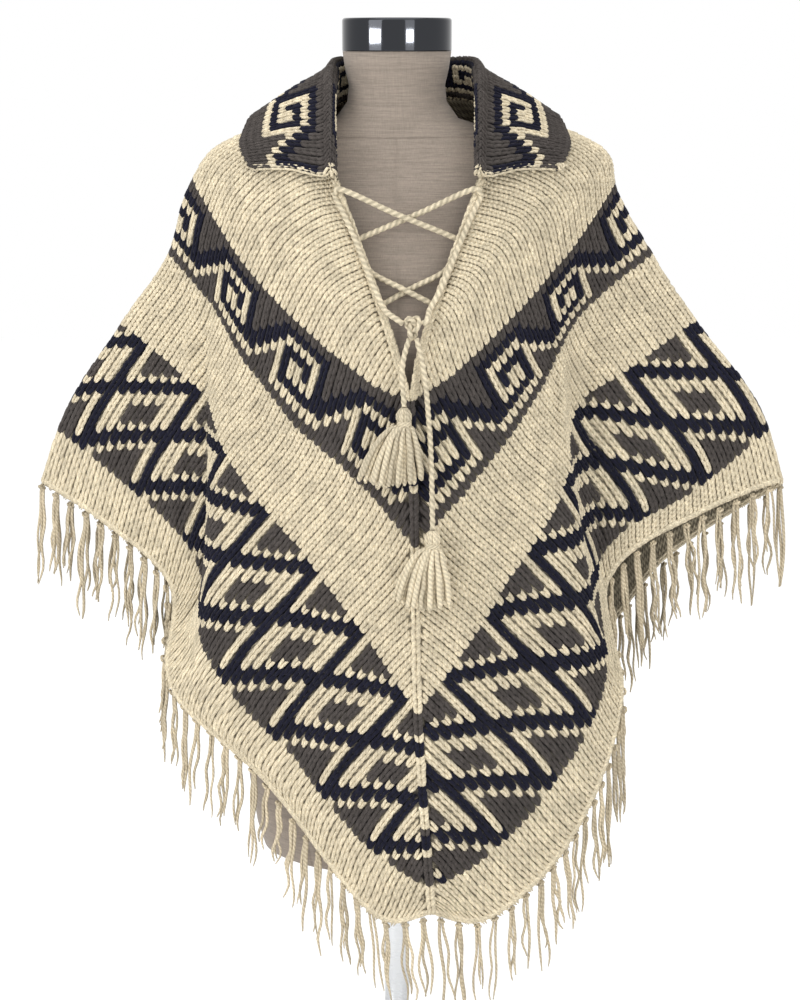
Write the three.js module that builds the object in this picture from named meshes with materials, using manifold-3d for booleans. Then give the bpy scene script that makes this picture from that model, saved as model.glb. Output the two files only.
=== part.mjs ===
// A hand-knitted wool poncho worn by a limbless dress form on a plain stand.
// Millimetres, +Z up, the front faces -Y. The origin is the middle of the base's underside.
// The poncho is knitted in two halves, left (-X) and right (+X), each from its front seam over the
// shoulder to its back seam. "down" is the distance knitted from the neck edge towards the hem.
import * as THREE from "three";
import { mergeVertices } from "three/addons/utils/BufferGeometryUtils.js";
import Module from "manifold-3d";

const wasm = await Module();
wasm.setup();

// Driving sizes of the knitting
const CLOTH = 5;
const SEAM_GAP = 0.36;
const DEPTH = 516;
const MIDDLE_X = 12;
const SLIT_DOWN = 156;
const SLIT_TOP_HALF_WIDTH = 70.5;
const SLIT_CURVE = 1.3;

// Driving sizes of the cord, the tassels and the fringe
const CORD_RADIUS = 2.75;
const CORD_SIDES = 8;
const FRINGE_STRIP = 6;
const FRINGE_PITCH = 19;
const STRAND_WIDTH = 4.6;
const STRAND_TAPER = 0.6;
const SHORT_STRAND = 76;
const LONG_STRAND = 110;
const STRAND_TURN = 6;
const LEAST_LEAN = 2;
const LEAN_RANGE = 5;
const ROOT_SHARE = 0.9;
const TASSEL_STRANDS = 16;
// The tassel's knob as radius and height: it swells over the tie and flares below it.
const HEAD_OUTLINE = [[0, -19], [7, -19], [5.5, -13], [8, -9], [7.5, -4], [4, 0], [0, 0]];
const HEAD_HEIGHT = 19;
const HEAD_SIDES = 10;
const SKIRT_ROOT = [4.5, 4];
const SKIRT_ROOT_RISE = 3;
const INNER_STRANDS = 0.55;
const SHORTEST_SHARE = 0.86;

// Driving sizes of the form and its stand
const FORM_BOTTOM = 280;
const NECK_TOP = 1100.7;
const CAP_BOTTOM = 1101;
const CAP_TOP = 1133;
const CAP_RADIUS = 53.6;
const BASE_RADIUS = 150;
const BASE_THICKNESS = 12;
const BOSS_RADIUS = 22;
const BOSS_TOP = 30;
const POST_RADIUS = 13;
const TOUCHING = 0.3;
const CAP_SIDES = 32;
const POST_SIDES = 20;
const BASE_SIDES = 36;

// The places of the fold lines at each section, as [out, fore, up]: out from the middle to the side,
// fore towards the front and up from the floor. Tip, front and corner lie on the front panel,
// crease is the hollow beside it, wing lies on the arm part and ridge is the line over the shoulder.
const LEFT_FRONT = [
  { down: 0, tip: [75, 77, 987], front: [78, 68, 997], corner: [82, 54, 1014],
    crease: [84, 37, 1033], wing: [83, 19, 1042], ridge: [80, 0, 1046] },
  { down: 60, tip: [57, 99, 922], front: [75, 91, 945], corner: [94, 80, 969],
    crease: [111, 65, 993], wing: [127, 42, 1016], ridge: [139, 0, 1030] },
  { down: 120, tip: [48, 118, 860], front: [84, 104, 897], corner: [120, 78, 932],
    crease: [148, 57, 958], wing: [176, 32, 984], ridge: [196, 0, 1004] },
  { down: 168, tip: [37, 130, 797], front: [76, 112, 836], corner: [124, 84, 877],
    crease: [163, 54, 911], wing: [196, 24, 943], ridge: [220, 0, 965] },
  { down: 240, tip: [47, 134, 718], front: [105, 105, 773], corner: [158, 70, 816],
    crease: [194, 38, 852], wing: [218, 16, 882], ridge: [238, 0, 908] },
  { down: 355, tip: [48, 148, 536], front: [106, 125, 580], corner: [182, 82, 676],
    crease: [206, 38, 752], wing: [244, 22, 788], ridge: [290, 0, 832] },
  { down: 475, tip: [48, 160, 336], front: [122, 136, 392], corner: [214, 104, 484],
    crease: [222, 46, 592], wing: [290, 24, 672], ridge: [356, 0, 725] },
  { down: 516, tip: [24, 166, 266], front: [142, 130, 396], corner: [239, 86, 482],
    crease: [241, 44, 575], wing: [310, 24, 636], ridge: [374, 0, 673] },
];

const RIGHT_FRONT = [
  { down: 0, tip: [73, 77, 987], front: [76, 68, 997], corner: [81, 54, 1014],
    crease: [84, 37, 1033], wing: [83, 19, 1042], ridge: [80, 0, 1046] },
  { down: 60, tip: [56, 99, 921], front: [76, 90, 942], corner: [96, 77, 965],
    crease: [114, 62, 988], wing: [130, 40, 1011], ridge: [142, 0, 1030] },
  { down: 120, tip: [42, 118, 860], front: [77, 103, 897], corner: [112, 78, 932],
    crease: [146, 55, 960], wing: [175, 30, 984], ridge: [196, 0, 1002] },
  { down: 168, tip: [40, 122, 792], front: [77, 103, 829], corner: [118, 76, 869],
    crease: [159, 42, 915], wing: [185, 19, 942], ridge: [206, 0, 966] },
  { down: 240, tip: [50, 132, 697], front: [98, 105, 745], corner: [137, 72, 792],
    crease: [164, 36, 843], wing: [204, 14, 874], ridge: [244, 0, 900] },
  { down: 355, tip: [50, 154, 522], front: [98, 128, 590], corner: [150, 92, 681],
    crease: [169, 38, 757], wing: [224, 22, 790], ridge: [290, 0, 834] },
  { down: 475, tip: [72, 155, 327], front: [141, 128, 391], corner: [193, 92, 484],
    crease: [196, 44, 612], wing: [292, 23, 671], ridge: [364, 0, 728] },
  { down: 516, tip: [72, 158, 262], front: [158, 128, 330], corner: [214, 80, 462],
    crease: [204, 43, 584], wing: [302, 24, 648], ridge: [381, 0, 673] },
];

const BACK = [
  { down: 0, tip: [19, -67, 1056], front: [37, -62, 1056], corner: [54, -52, 1055],
    crease: [68, -38, 1053], wing: [77, -20, 1050], ridge: [80, 0, 1046] },
  { down: 60, tip: [33, -97, 978], front: [65, -90, 988], corner: [95, -77, 1001],
    crease: [119, -58, 1014], wing: [134, -32, 1025], ridge: [139, 0, 1030] },
  { down: 120, tip: [44, -109, 903], front: [88, -102, 923], corner: [130, -88, 948],
    crease: [164, -64, 972], wing: [186, -34, 992], ridge: [196, 0, 1003] },
  { down: 168, tip: [49, -114, 836], front: [98, -106, 861], corner: [146, -90, 893],
    crease: [184, -60, 925], wing: [205, -30, 949], ridge: [214, 0, 965] },
  { down: 240, tip: [54, -122, 738], front: [108, -112, 776], corner: [160, -92, 820],
    crease: [202, -58, 860], wing: [226, -28, 887], ridge: [240, 0, 905] },
  { down: 355, tip: [60, -140, 583], front: [120, -120, 636], corner: [180, -92, 700],
    crease: [226, -46, 757], wing: [264, -24, 798], ridge: [290, 0, 833] },
  { down: 475, tip: [70, -153, 403], front: [140, -130, 460], corner: [208, -104, 540],
    crease: [254, -48, 622], wing: [314, -26, 678], ridge: [360, 0, 726] },
  { down: 516, tip: [72, -155, 358], front: [148, -132, 418], corner: [222, -106, 500],
    crease: [268, -48, 583], wing: [330, -26, 636], ridge: [378, 0, 673] },
];

// The lines where the halves meet, as [x, fore, up]. Above SLIT_DOWN the front one is the slit's middle.
const SEAMS = [
  { down: 0, front: [10.5, 84, 981], back: [12, -68, 1056] },
  { down: 60, front: [10.5, 104, 899], back: [12, -99, 972] },
  { down: 120, front: [10.8, 124, 822], back: [12, -112, 890] },
  { down: 168, front: [14, 138, 755], back: [12, -118, 821] },
  { down: 240, front: [17, 150, 645], back: [13, -127, 714] },
  { down: 355, front: [20, 165, 479], back: [13, -144, 546] },
  { down: 475, front: [32, 165, 300], back: [14, -157, 370] },
  { down: 516, front: [34, 165, 273], back: [14, -158, 328] },
];

// The collar at seven places from its front end (0) over the shoulder ridge (6) to the back (12).
// Its fold and its outer edge are given as [out, fore, up], out from COLLAR_MIDDLE_X.
const COLLAR_MIDDLE_X = 8;
const COLLAR = [
  { place: 0, fold: [71, 99, 995], edge: [148, 58, 991] },
  { place: 2, fold: [72, 80, 1024], edge: [157, 43, 1008] },
  { place: 4, fold: [73, 50, 1060], edge: [157, 18, 1022] },
  { place: 6, fold: [73, 12, 1086], edge: [147, -12, 1039] },
  { place: 8, fold: [67, -30, 1093], edge: [122, -60, 1031] },
  { place: 10, fold: [39, -60, 1092], edge: [76, -94, 1015] },
  { place: 12, fold: [0, -71, 1090], edge: [0, -108, 1004] },
];
const COLLAR_FOLD_HALF_WIDTH = 4.5;
const COLLAR_FOLD_DROP = 7;
const COLLAR_FALL_RISE = 3;
const COLLAR_TURN_ROOM = 2.3;

// The form's level sections: half width, and depth to the front and to the back.
const FORM_SECTIONS = [
  { up: 280, side: 118, front: 84, back: 78 },
  { up: 284, side: 132, front: 94, back: 90 },
  { up: 300, side: 143, front: 103, back: 100 },
  { up: 330, side: 150, front: 108, back: 106 },
  { up: 380, side: 156, front: 110, back: 108 },
  { up: 480, side: 140, front: 102, back: 94 },
  { up: 590, side: 118, front: 92, back: 74 },
  { up: 700, side: 134, front: 102, back: 78 },
  { up: 790, side: 148, front: 110, back: 86 },
  { up: 880, side: 160, front: 92, back: 90 },
  { up: 930, side: 170, front: 79, back: 86 },
  { up: 965, side: 174, front: 68, back: 78 },
  { up: 990, side: 166, front: 60, back: 70 },
  { up: 1010, side: 139, front: 55, back: 64 },
  { up: 1023, side: 102, front: 53.8, back: 60 },
  { up: 1033, side: 66, front: 54, back: 56 },
  { up: 1042, side: 56, front: 53.6, back: 54.5 },
  { up: NECK_TOP, side: 53.4, front: 53.4, back: 53.4 },
];
const FORM_SIDES = 28;
const FORM_LEVELS = [280, 284, 300, 330, 380, 430, 480, 535, 590, 645, 700, 745, 790, 835, 880, 920, 950, 970,
  985, 1000, 1012, 1023, 1033, 1042, 1060, NECK_TOP];

// The cord's routes, as [x, y, z]. Both free ends start under the knot.
const KNOT_CENTRE = [15, -134, 846];
const KNOT_SIZE = [8.5, 7, 10];
const KNOT_SIDES = 10;
const KNOT_LEVELS = 8;
const KNOT_ROOM = 0.6;
const LACE_START_UP = 4;
const LACE_START_SLOPE = [4, 3];
const SHORT_END = [
  [12, -135, 836.2], [9, -138, 828], [6, -143, 816], [5, -147, 800], [6, -150, 786], [7, -151.5, 773.5],
];
const LONG_END = [
  [18.5, -135.5, 836.4], [21, -138.5, 827], [24.5, -142, 812], [27.5, -144.5, 790], [30, -147, 762],
  [32, -151, 732], [33, -155, 704], [33.5, -159, 678], [34, -161.5, 657.5],
];
const SHORT_TASSEL = { neck: [7, -152, 772.7], lean: [-12, -5], spread: [30, 9], length: 62 };
const LONG_TASSEL = { neck: [34, -162, 656.8], lean: [-9, -6], spread: [26, 9], length: 62 };

// The laced strands: each point is on a half at a distance down its slit edge. Inset is the way from
// the edge onto the cloth, and lift is the way from its outer face, less than none behind it.
const ON_CLOTH = CORD_RADIUS + 1.7;
const BEHIND = -CLOTH - CORD_RADIUS - 1.6;
const LACE_RUN = [
  { on: 0, down: 92, inset: 1, lift: 7.5 },
  { on: 0, down: 84, inset: 6.5, lift: 5.8 },
  { on: 0, down: 72, inset: 9, lift: ON_CLOTH },
  { on: 0, down: 50, inset: 9, lift: ON_CLOTH },
  { on: 0, down: 28, inset: 9, lift: ON_CLOTH },
  { on: 0, down: 13, inset: 7, lift: ON_CLOTH },
  { on: 0, down: 6, inset: -4, lift: 4 },
  { on: 0, down: 1, inset: -10, lift: 1 },
];
const LACE_CROSSINGS = [
  { on: 1, down: 36, inset: -5, lift: -9 },
  { on: 1, down: 42, inset: 4, lift: BEHIND },
  { on: 1, down: 48, inset: 5, lift: BEHIND },
  { on: 1, down: 53, inset: 2, lift: BEHIND },
  { on: 1, down: 57, inset: -6, lift: -9 },
  { on: 0, down: 82, inset: -5, lift: -9 },
  { on: 0, down: 88, inset: 3, lift: BEHIND },
];

const COLOURS = { cream: 0xdecfb0, linen: 0x928880, chrome: 0x3f4044, steel: 0xb8babd };

const part = new THREE.Group();

function addPiece(name, geometry, colour, roughness = 0.9, metalness = 0) {
  const material = new THREE.MeshStandardMaterial({ color: colour, roughness, metalness });
  const piece = new THREE.Mesh(geometry, material);
  piece.name = name;
  part.add(piece);
}

// A smooth curve through values at knots, with its slope at each knot taken from both neighbours.
function through(knots, values, at) {
  const last = knots.length - 2;
  let i = 0;
  while (i < last && at > knots[i + 1]) i += 1;
  const span = knots[i + 1] - knots[i];
  const share = (at - knots[i]) / span;
  const slopeAt = (k) => {
    const before = k > 0 ? (values[k] - values[k - 1]) / (knots[k] - knots[k - 1]) : null;
    const after = k <= last ? (values[k + 1] - values[k]) / (knots[k + 1] - knots[k]) : null;
    if (before === null) return after;
    if (after === null) return before;
    const wide = knots[k + 1] - knots[k - 1];
    return (before * (knots[k + 1] - knots[k]) + after * (knots[k] - knots[k - 1])) / wide;
  };
  const square = share * share;
  const cube = square * share;
  return values[i] * (2 * cube - 3 * square + 1)
    + values[i + 1] * (3 * square - 2 * cube)
    + span * slopeAt(i) * (cube - 2 * square + share)
    + span * slopeAt(i + 1) * (cube - square);
}

// The three numbers of a table's column at a place between its rows.
function readTable(table, key, column, at) {
  const knots = table.map((row) => row[key]);
  return [0, 1, 2].map((axis) => through(knots, table.map((row) => row[column][axis]), at));
}

const FRONT_LINES = ["tip", "front", "corner", "crease", "wing", "ridge"];
const BACK_LINES = ["wing", "crease", "corner", "front", "tip"];
const LAST_PLACE = FRONT_LINES.length + BACK_LINES.length + 1;
const HALVES = {
  left: { side: -1, front: LEFT_FRONT },
  right: { side: 1, front: RIGHT_FRONT },
};

function slitHalfWidth(down) {
  const open = Math.max(0, 1 - down / SLIT_DOWN);
  return SLIT_TOP_HALF_WIDTH * open ** SLIT_CURVE;
}

// The fold lines' points at one distance down, from the front seam or slit edge to the back seam.
function section(half, down) {
  const { side, front } = HALVES[half];
  const [seamX, seamFore, seamUp] = readTable(SEAMS, "down", "front", down);
  const [rearX, rearFore, rearUp] = readTable(SEAMS, "down", "back", down);
  const apart = Math.max(slitHalfWidth(down), SEAM_GAP / 2);
  const points = [new THREE.Vector3(seamX + side * apart, -seamFore, seamUp)];
  for (const line of FRONT_LINES) {
    const [out, fore, up] = readTable(front, "down", line, down);
    points.push(new THREE.Vector3(MIDDLE_X + side * out, -fore, up));
  }
  const ridgeOut = readTable(front, "down", "ridge", down)[0];
  const meanOut = readTable(BACK, "down", "ridge", down)[0];
  for (const line of BACK_LINES) {
    const [out, fore, up] = readTable(BACK, "down", line, down);
    const wider = 1 + (ridgeOut / meanOut - 1) * (out / meanOut) ** 2;
    points.push(new THREE.Vector3(MIDDLE_X + side * out * wider, -fore, up));
  }
  points.push(new THREE.Vector3(rearX + side * SEAM_GAP / 2, -rearFore, rearUp));
  return points;
}

// How far apart two points are taken to find a direction on the cloth: along it and round it.
const NEAR_DOWN = 2;
const NEAR_PLACE = 0.05;
const NEAR_EDGE_DOWN = 4;
const NEAR_NECK_DOWN = 6;
const NEAR_SLIT_PLACE = 0.2;
const SLIT_FACE_PLACE = 0.1;

// A point of a half's outer face, at a place from 0 (front seam) over 6 (ridge) to 12 (back seam).
function onHalf(half, down, place) {
  const points = section(half, down);
  const knots = [0];
  for (let i = 1; i < points.length; i += 1) {
    knots.push(knots[i - 1] + Math.sqrt(points[i].distanceTo(points[i - 1])));
  }
  const i = Math.min(Math.floor(place), LAST_PLACE - 1);
  const at = knots[i] + (place - i) * (knots[i + 1] - knots[i]);
  return new THREE.Vector3(
    through(knots, points.map((p) => p.x), at),
    through(knots, points.map((p) => p.y), at),
    through(knots, points.map((p) => p.z), at),
  );
}

// The direction that a half's outer face looks in. Along a seam it has no sideways part, so that
// both halves' edges lie face to face.
function outwards(half, down, place) {
  const above = onHalf(half, Math.max(down - NEAR_DOWN, 0), place);
  const below = onHalf(half, Math.min(down + NEAR_DOWN, DEPTH), place);
  const before = onHalf(half, down, Math.max(place - NEAR_PLACE, 0));
  const after = onHalf(half, down, Math.min(place + NEAR_PLACE, LAST_PLACE));
  const fall = below.sub(above);
  const onSeam = place === LAST_PLACE || (place === 0 && down >= SLIT_DOWN);
  const across = onSeam ? new THREE.Vector3(place === 0 ? -1 : 1, 0, 0) : after.sub(before);
  const normal = across.cross(fall).normalize();
  if (!onSeam) return normal.multiplyScalar(HALVES[half].side * -1);
  normal.x = 0;
  return normal.normalize();
}

// A closed wall between two grids of points of the same size.
function wall(outer, inner) {
  const rows = outer.length;
  const columns = outer[0].length;
  const position = [];
  for (const grid of [outer, inner]) {
    for (const row of grid) {
      for (const p of row) position.push(p.x, p.y, p.z);
    }
  }
  const index = [];
  const at = (grid, i, j) => (grid * rows + i) * columns + j;
  const quad = (a, b, c, d) => index.push(a, b, c, a, c, d);
  for (let i = 0; i < rows - 1; i += 1) {
    for (let j = 0; j < columns - 1; j += 1) {
      quad(at(0, i, j), at(0, i, j + 1), at(0, i + 1, j + 1), at(0, i + 1, j));
      quad(at(1, i, j), at(1, i + 1, j), at(1, i + 1, j + 1), at(1, i, j + 1));
    }
    quad(at(0, i, 0), at(0, i + 1, 0), at(1, i + 1, 0), at(1, i, 0));
    quad(at(0, i, columns - 1), at(1, i, columns - 1), at(1, i + 1, columns - 1), at(0, i + 1, columns - 1));
  }
  for (let j = 0; j < columns - 1; j += 1) {
    quad(at(0, 0, j), at(1, 0, j), at(1, 0, j + 1), at(0, 0, j + 1));
    quad(at(0, rows - 1, j), at(0, rows - 1, j + 1), at(1, rows - 1, j + 1), at(1, rows - 1, j));
  }
  return facingOut(position, index);
}

// A geometry whose faces point out: the list's order is turned round if its volume is negative.
function facingOut(position, index) {
  const corner = (k) => new THREE.Vector3(position[3 * k], position[3 * k + 1], position[3 * k + 2]);
  let volume = 0;
  for (let t = 0; t < index.length; t += 3) {
    const [a, b, c] = [corner(index[t]), corner(index[t + 1]), corner(index[t + 2])];
    volume += a.dot(b.cross(c));
  }
  const order = volume < 0 ? index.slice().reverse() : index;
  const geometry = new THREE.BufferGeometry();
  geometry.setAttribute("position", new THREE.Float32BufferAttribute(position, 3));
  geometry.setIndex(order);
  return geometry;
}

// A closed body through level or leaning rings of points, with a flat fan at each end.
function loft(rings) {
  const around = rings[0].length;
  const position = rings.flat().flatMap((p) => [p.x, p.y, p.z]);
  const index = [];
  for (let i = 0; i < rings.length - 1; i += 1) {
    for (let j = 0; j < around; j += 1) {
      const next = (j + 1) % around;
      const [a, b] = [i * around + j, i * around + next];
      index.push(a, b, b + around, a, b + around, a + around);
    }
  }
  const last = (rings.length - 1) * around;
  for (let j = 1; j < around - 1; j += 1) {
    index.push(0, j + 1, j);
    index.push(last, last + j, last + j + 1);
  }
  return facingOut(position, index);
}

function toSolid(geometry) {
  const bare = geometry.clone();
  bare.deleteAttribute("normal");
  bare.deleteAttribute("uv");
  const merged = mergeVertices(bare);
  return new wasm.Manifold(new wasm.Mesh({
    numProp: 3,
    vertProperties: new Float32Array(merged.attributes.position.array),
    triVerts: new Uint32Array(merged.index.array),
  }));
}

function toGeometry(solid) {
  const mesh = solid.getMesh();
  const geometry = new THREE.BufferGeometry();
  geometry.setAttribute("position", new THREE.Float32BufferAttribute(mesh.vertProperties, 3));
  geometry.setIndex(Array.from(mesh.triVerts));
  return geometry;
}

function joined(geometries) {
  return toGeometry(geometries.map(toSolid).reduce((whole, piece) => whole.add(piece)));
}

// A number from 0 to 1 that looks random and is the same each time.
function scatter(seed) {
  const wave = Math.sin(seed * 127.1 + 311.7) * 43758.5453;
  return wave - Math.floor(wave);
}

// Two knitted halves

const KNIT_ROWS = [0, 30, 60, 90, 120, 146, 168, 200, 240, 280, 320, 355, 395, 435, 475, 496, DEPTH];
const PLACE_STEPS = [2, 3, 3, 3, 4, 3, 2, 3, 3, 2, 2, 2];

function placesAlong(steps) {
  const places = steps.flatMap((count, i) => Array.from({ length: count }, (_, k) => i + k / count));
  return [...places, steps.length];
}

function knittedHalf(half) {
  const places = placesAlong(PLACE_STEPS);
  const outer = KNIT_ROWS.map((down) => places.map((place) => onHalf(half, down, place)));
  const inner = KNIT_ROWS.map((down, i) => places.map(
    (place, j) => outer[i][j].clone().addScaledVector(outwards(half, down, place), -CLOTH),
  ));
  return wall(outer, inner);
}

addPiece("left_half", knittedHalf("left"), COLOURS.cream);
addPiece("right_half", knittedHalf("right"), COLOURS.cream);

// Collar: it rises from the neck edge as a stand, folds over and falls outwards

function collarSection(half, place) {
  const side = HALVES[half].side;
  const neck = onHalf(half, 0, place);
  const face = outwards(half, 0, place);
  const rise = neck.clone().sub(onHalf(half, NEAR_NECK_DOWN, place)).normalize();
  const [foldOut, foldFore, foldUp] = readTable(COLLAR, "place", "fold", place);
  const [edgeOut, edgeFore, edgeUp] = readTable(COLLAR, "place", "edge", place);
  const fold = new THREE.Vector3(COLLAR_MIDDLE_X + side * foldOut, -foldFore, foldUp);
  const edge = new THREE.Vector3(COLLAR_MIDDLE_X + side * edgeOut, -edgeFore, edgeUp);
  const across = edge.clone().sub(fold).setZ(0).normalize();
  const drop = new THREE.Vector3(0, 0, -COLLAR_FOLD_DROP);
  const inFold = fold.clone().addScaledVector(across, -COLLAR_FOLD_HALF_WIDTH).add(drop);
  const outFold = fold.clone().addScaledVector(across, COLLAR_FOLD_HALF_WIDTH).add(drop);
  neck.addScaledVector(face, -CLOTH / 2);
  const stand = inFold.clone().sub(neck).normalize();
  const turn = Math.sqrt(Math.max(0, 1 - stand.dot(rise) ** 2));
  const foot = neck.addScaledVector(rise, SEAM_GAP + turn * (CLOTH / 2 + COLLAR_TURN_ROOM));
  const fall = outFold.clone().lerp(edge, 0.5).add(new THREE.Vector3(0, 0, COLLAR_FALL_RISE));
  return new THREE.CatmullRomCurve3([foot, inFold, fold, outFold, fall, edge], false, "centripetal");
}

const COLLAR_STEPS = [0, 0.11, 0.2, 0.3, 0.4, 0.5, 0.6, 0.8, 1];
const COLLAR_PLACES = [0, 1, 2, 3, 4, 5, 6, 7, 8, 9, 10, 11, 12];

function collar() {
  const left = COLLAR_PLACES.map((place) => collarSection("left", place));
  const right = COLLAR_PLACES.slice(0, -1).reverse().map((place) => collarSection("right", place));
  const middle = COLLAR_STEPS.map((step) => [...left, ...right].map((curve) => curve.getPoint(step)));
  const face = middle.map((row, i) => row.map((p, j) => {
    const up = middle[Math.max(i - 1, 0)][j];
    const down = middle[Math.min(i + 1, middle.length - 1)][j];
    const before = row[Math.max(j - 1, 0)];
    const after = row[Math.min(j + 1, row.length - 1)];
    return after.clone().sub(before).cross(down.clone().sub(up)).normalize();
  }));
  const shifted = (by) => middle.map((row, i) => {
    return row.map((p, j) => p.clone().addScaledVector(face[i][j], by));
  });
  return wall(shifted(CLOTH / 2), shifted(-CLOTH / 2));
}

addPiece("collar", collar(), COLOURS.cream);

// Fringe: strands hang from a narrow strip under the hem, parted from the cloth's edge

function hemPoint(half, place, below) {
  const hem = onHalf(half, DEPTH, place);
  const fall = hem.clone().sub(onHalf(half, DEPTH - NEAR_EDGE_DOWN, place)).normalize();
  return hem.addScaledVector(outwards(half, DEPTH, place), -CLOTH / 2).addScaledVector(fall, below);
}

// A strand of three sides that hangs from its root, leaning a little and growing thinner.
function strand(root, foot, width, turn) {
  const rings = [[root, 1], [foot, STRAND_TAPER]].map(([centre, taper]) => {
    return [0, 1, 2].map((corner) => {
      const angle = turn + corner * 2 * Math.PI / 3;
      const reach = taper * width / Math.sqrt(3);
      return centre.clone().add(new THREE.Vector3(reach * Math.cos(angle), reach * Math.sin(angle), 0));
    });
  });
  return loft(rings);
}

function fringe(half, seed) {
  const places = placesAlong(PLACE_STEPS);
  const face = (lift) => [SEAM_GAP, SEAM_GAP + FRINGE_STRIP].map((below) => places.map(
    (place) => hemPoint(half, place, below).addScaledVector(outwards(half, DEPTH, place), lift),
  ));
  const pieces = [wall(face(CLOTH / 2), face(-CLOTH / 2))];
  const hem = places.map((place) => hemPoint(half, place, 0));
  const roots = places.map((place) => hemPoint(half, place, SEAM_GAP + FRINGE_STRIP * ROOT_SHARE));
  let next = FRINGE_PITCH / 2;
  for (let j = 0; j < hem.length - 1; j += 1) {
    const span = hem[j].distanceTo(hem[j + 1]);
    for (; next < span; next += FRINGE_PITCH) {
      const number = seed + pieces.length;
      const root = roots[j].clone().lerp(roots[j + 1], next / span);
      const away = root.clone().sub(hem[j].clone().lerp(hem[j + 1], next / span)).setZ(0).normalize();
      const foot = root.clone().addScaledVector(away, LEAST_LEAN + LEAN_RANGE * scatter(number + 0.5));
      foot.z -= SHORT_STRAND + (LONG_STRAND - SHORT_STRAND) * scatter(number);
      pieces.push(strand(root, foot, STRAND_WIDTH, STRAND_TURN * scatter(number + 0.25)));
    }
    next -= span;
  }
  return joined(pieces);
}

addPiece("fringe_left", fringe("left", 100), COLOURS.cream);
addPiece("fringe_right", fringe("right", 300), COLOURS.cream);

// Lace: two strands of one cord that cross in the slit, run down beside it and meet in a knot

const LACE_STEP = 8;
const END_STEP = 14;

function tube(points, step) {
  const route = new THREE.CatmullRomCurve3(points, false, "centripetal");
  const ring = Array.from({ length: CORD_SIDES }, (_, k) => {
    const angle = 2 * Math.PI * (k + 0.5) / CORD_SIDES;
    return new THREE.Vector2(CORD_RADIUS * Math.cos(angle), CORD_RADIUS * Math.sin(angle));
  });
  return new THREE.ExtrudeGeometry(new THREE.Shape(ring), {
    steps: Math.round(route.getLength() / step),
    bevelEnabled: false,
    extrudePath: route,
  });
}

function besideSlit(half, { down, inset, lift }) {
  const edge = onHalf(half, down, 0);
  const place = Math.max(inset, 0) / edge.distanceTo(onHalf(half, down, 1));
  const intoSlit = edge.clone().sub(onHalf(half, down, NEAR_SLIT_PLACE)).normalize();
  const spot = onHalf(half, down, place).addScaledVector(intoSlit, Math.max(-inset, 0));
  return spot.addScaledVector(outwards(half, down, Math.max(place, SLIT_FACE_PLACE)), lift);
}

function laceStrand(half, start, crossing) {
  const other = half === "left" ? "right" : "left";
  const at = (row) => besideSlit(row.on === 0 ? half : other, row);
  const run = LACE_RUN.map(at);
  const cross = LACE_CROSSINGS.map(at);
  const forward = new THREE.Vector3(0, -crossing, 0);
  const upperMiddle = run[run.length - 1].clone().lerp(cross[0], 0.5).add(forward);
  const lowerMiddle = cross[4].clone().lerp(cross[5], 0.5).sub(forward);
  const [aside, up] = LACE_START_SLOPE;
  const first = new THREE.Vector3(...start);
  const second = first.clone().add(new THREE.Vector3(HALVES[half].side * aside, 0, up));
  return tube([
    first, second, ...run, upperMiddle, ...cross.slice(0, 5), lowerMiddle, ...cross.slice(5),
  ], LACE_STEP);
}

const CROSSING_LIFT = 3.6;
const [knotX, knotY, knotZ] = KNOT_CENTRE;
const knotSide = KNOT_SIZE[0] + KNOT_ROOM;
const laceUp = knotZ + LACE_START_UP;
const laceLeft = laceStrand("left", [knotX - knotSide, knotY, laceUp], CROSSING_LIFT);
const laceRight = laceStrand("right", [knotX + knotSide, knotY, laceUp], -CROSSING_LIFT);
addPiece("lace_left", laceLeft, COLOURS.cream);
addPiece("lace_right", laceRight, COLOURS.cream);

function knot() {
  const ball = new THREE.SphereGeometry(1, KNOT_SIDES, KNOT_LEVELS);
  ball.scale(...KNOT_SIZE);
  ball.translate(...KNOT_CENTRE);
  return ball;
}
addPiece("lace_knot", knot(), COLOURS.cream);

const routePoints = (route) => route.map((p) => new THREE.Vector3(...p));
addPiece("short_end", tube(routePoints(SHORT_END), END_STEP), COLOURS.cream);
addPiece("long_end", tube(routePoints(LONG_END), END_STEP), COLOURS.cream);

// Tassels: a tied head with strands that spread below it

function tassel({ neck, lean, spread, length }, seed) {
  const [x, y, z] = neck;
  const knob = new THREE.LatheGeometry(HEAD_OUTLINE.map(([r, up]) => new THREE.Vector2(r, up)), HEAD_SIDES);
  knob.rotateX(Math.PI / 2);
  knob.translate(x, y, z);
  const pieces = [knob];
  for (let k = 0; k < TASSEL_STRANDS; k += 1) {
    const angle = 2 * Math.PI * (k + 0.5) / TASSEL_STRANDS;
    const ring = k % 2 === 0 ? 1 : INNER_STRANDS;
    const away = new THREE.Vector2(ring * Math.cos(angle), ring * Math.sin(angle));
    const root = new THREE.Vector3(
      x + SKIRT_ROOT[0] * away.x,
      y + SKIRT_ROOT[1] * away.y,
      z - HEAD_HEIGHT + SKIRT_ROOT_RISE,
    );
    const foot = new THREE.Vector3(
      x + lean[0] + spread[0] * away.x,
      y + lean[1] + spread[1] * away.y,
      z - HEAD_HEIGHT - length * (SHORTEST_SHARE + (1 - SHORTEST_SHARE) * scatter(seed + k)),
    );
    pieces.push(strand(root, foot, STRAND_WIDTH, angle));
  }
  return joined(pieces);
}

addPiece("short_tassel", tassel(SHORT_TASSEL, 500), COLOURS.cream);
addPiece("long_tassel", tassel(LONG_TASSEL, 600), COLOURS.cream);

// Dress form

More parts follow.
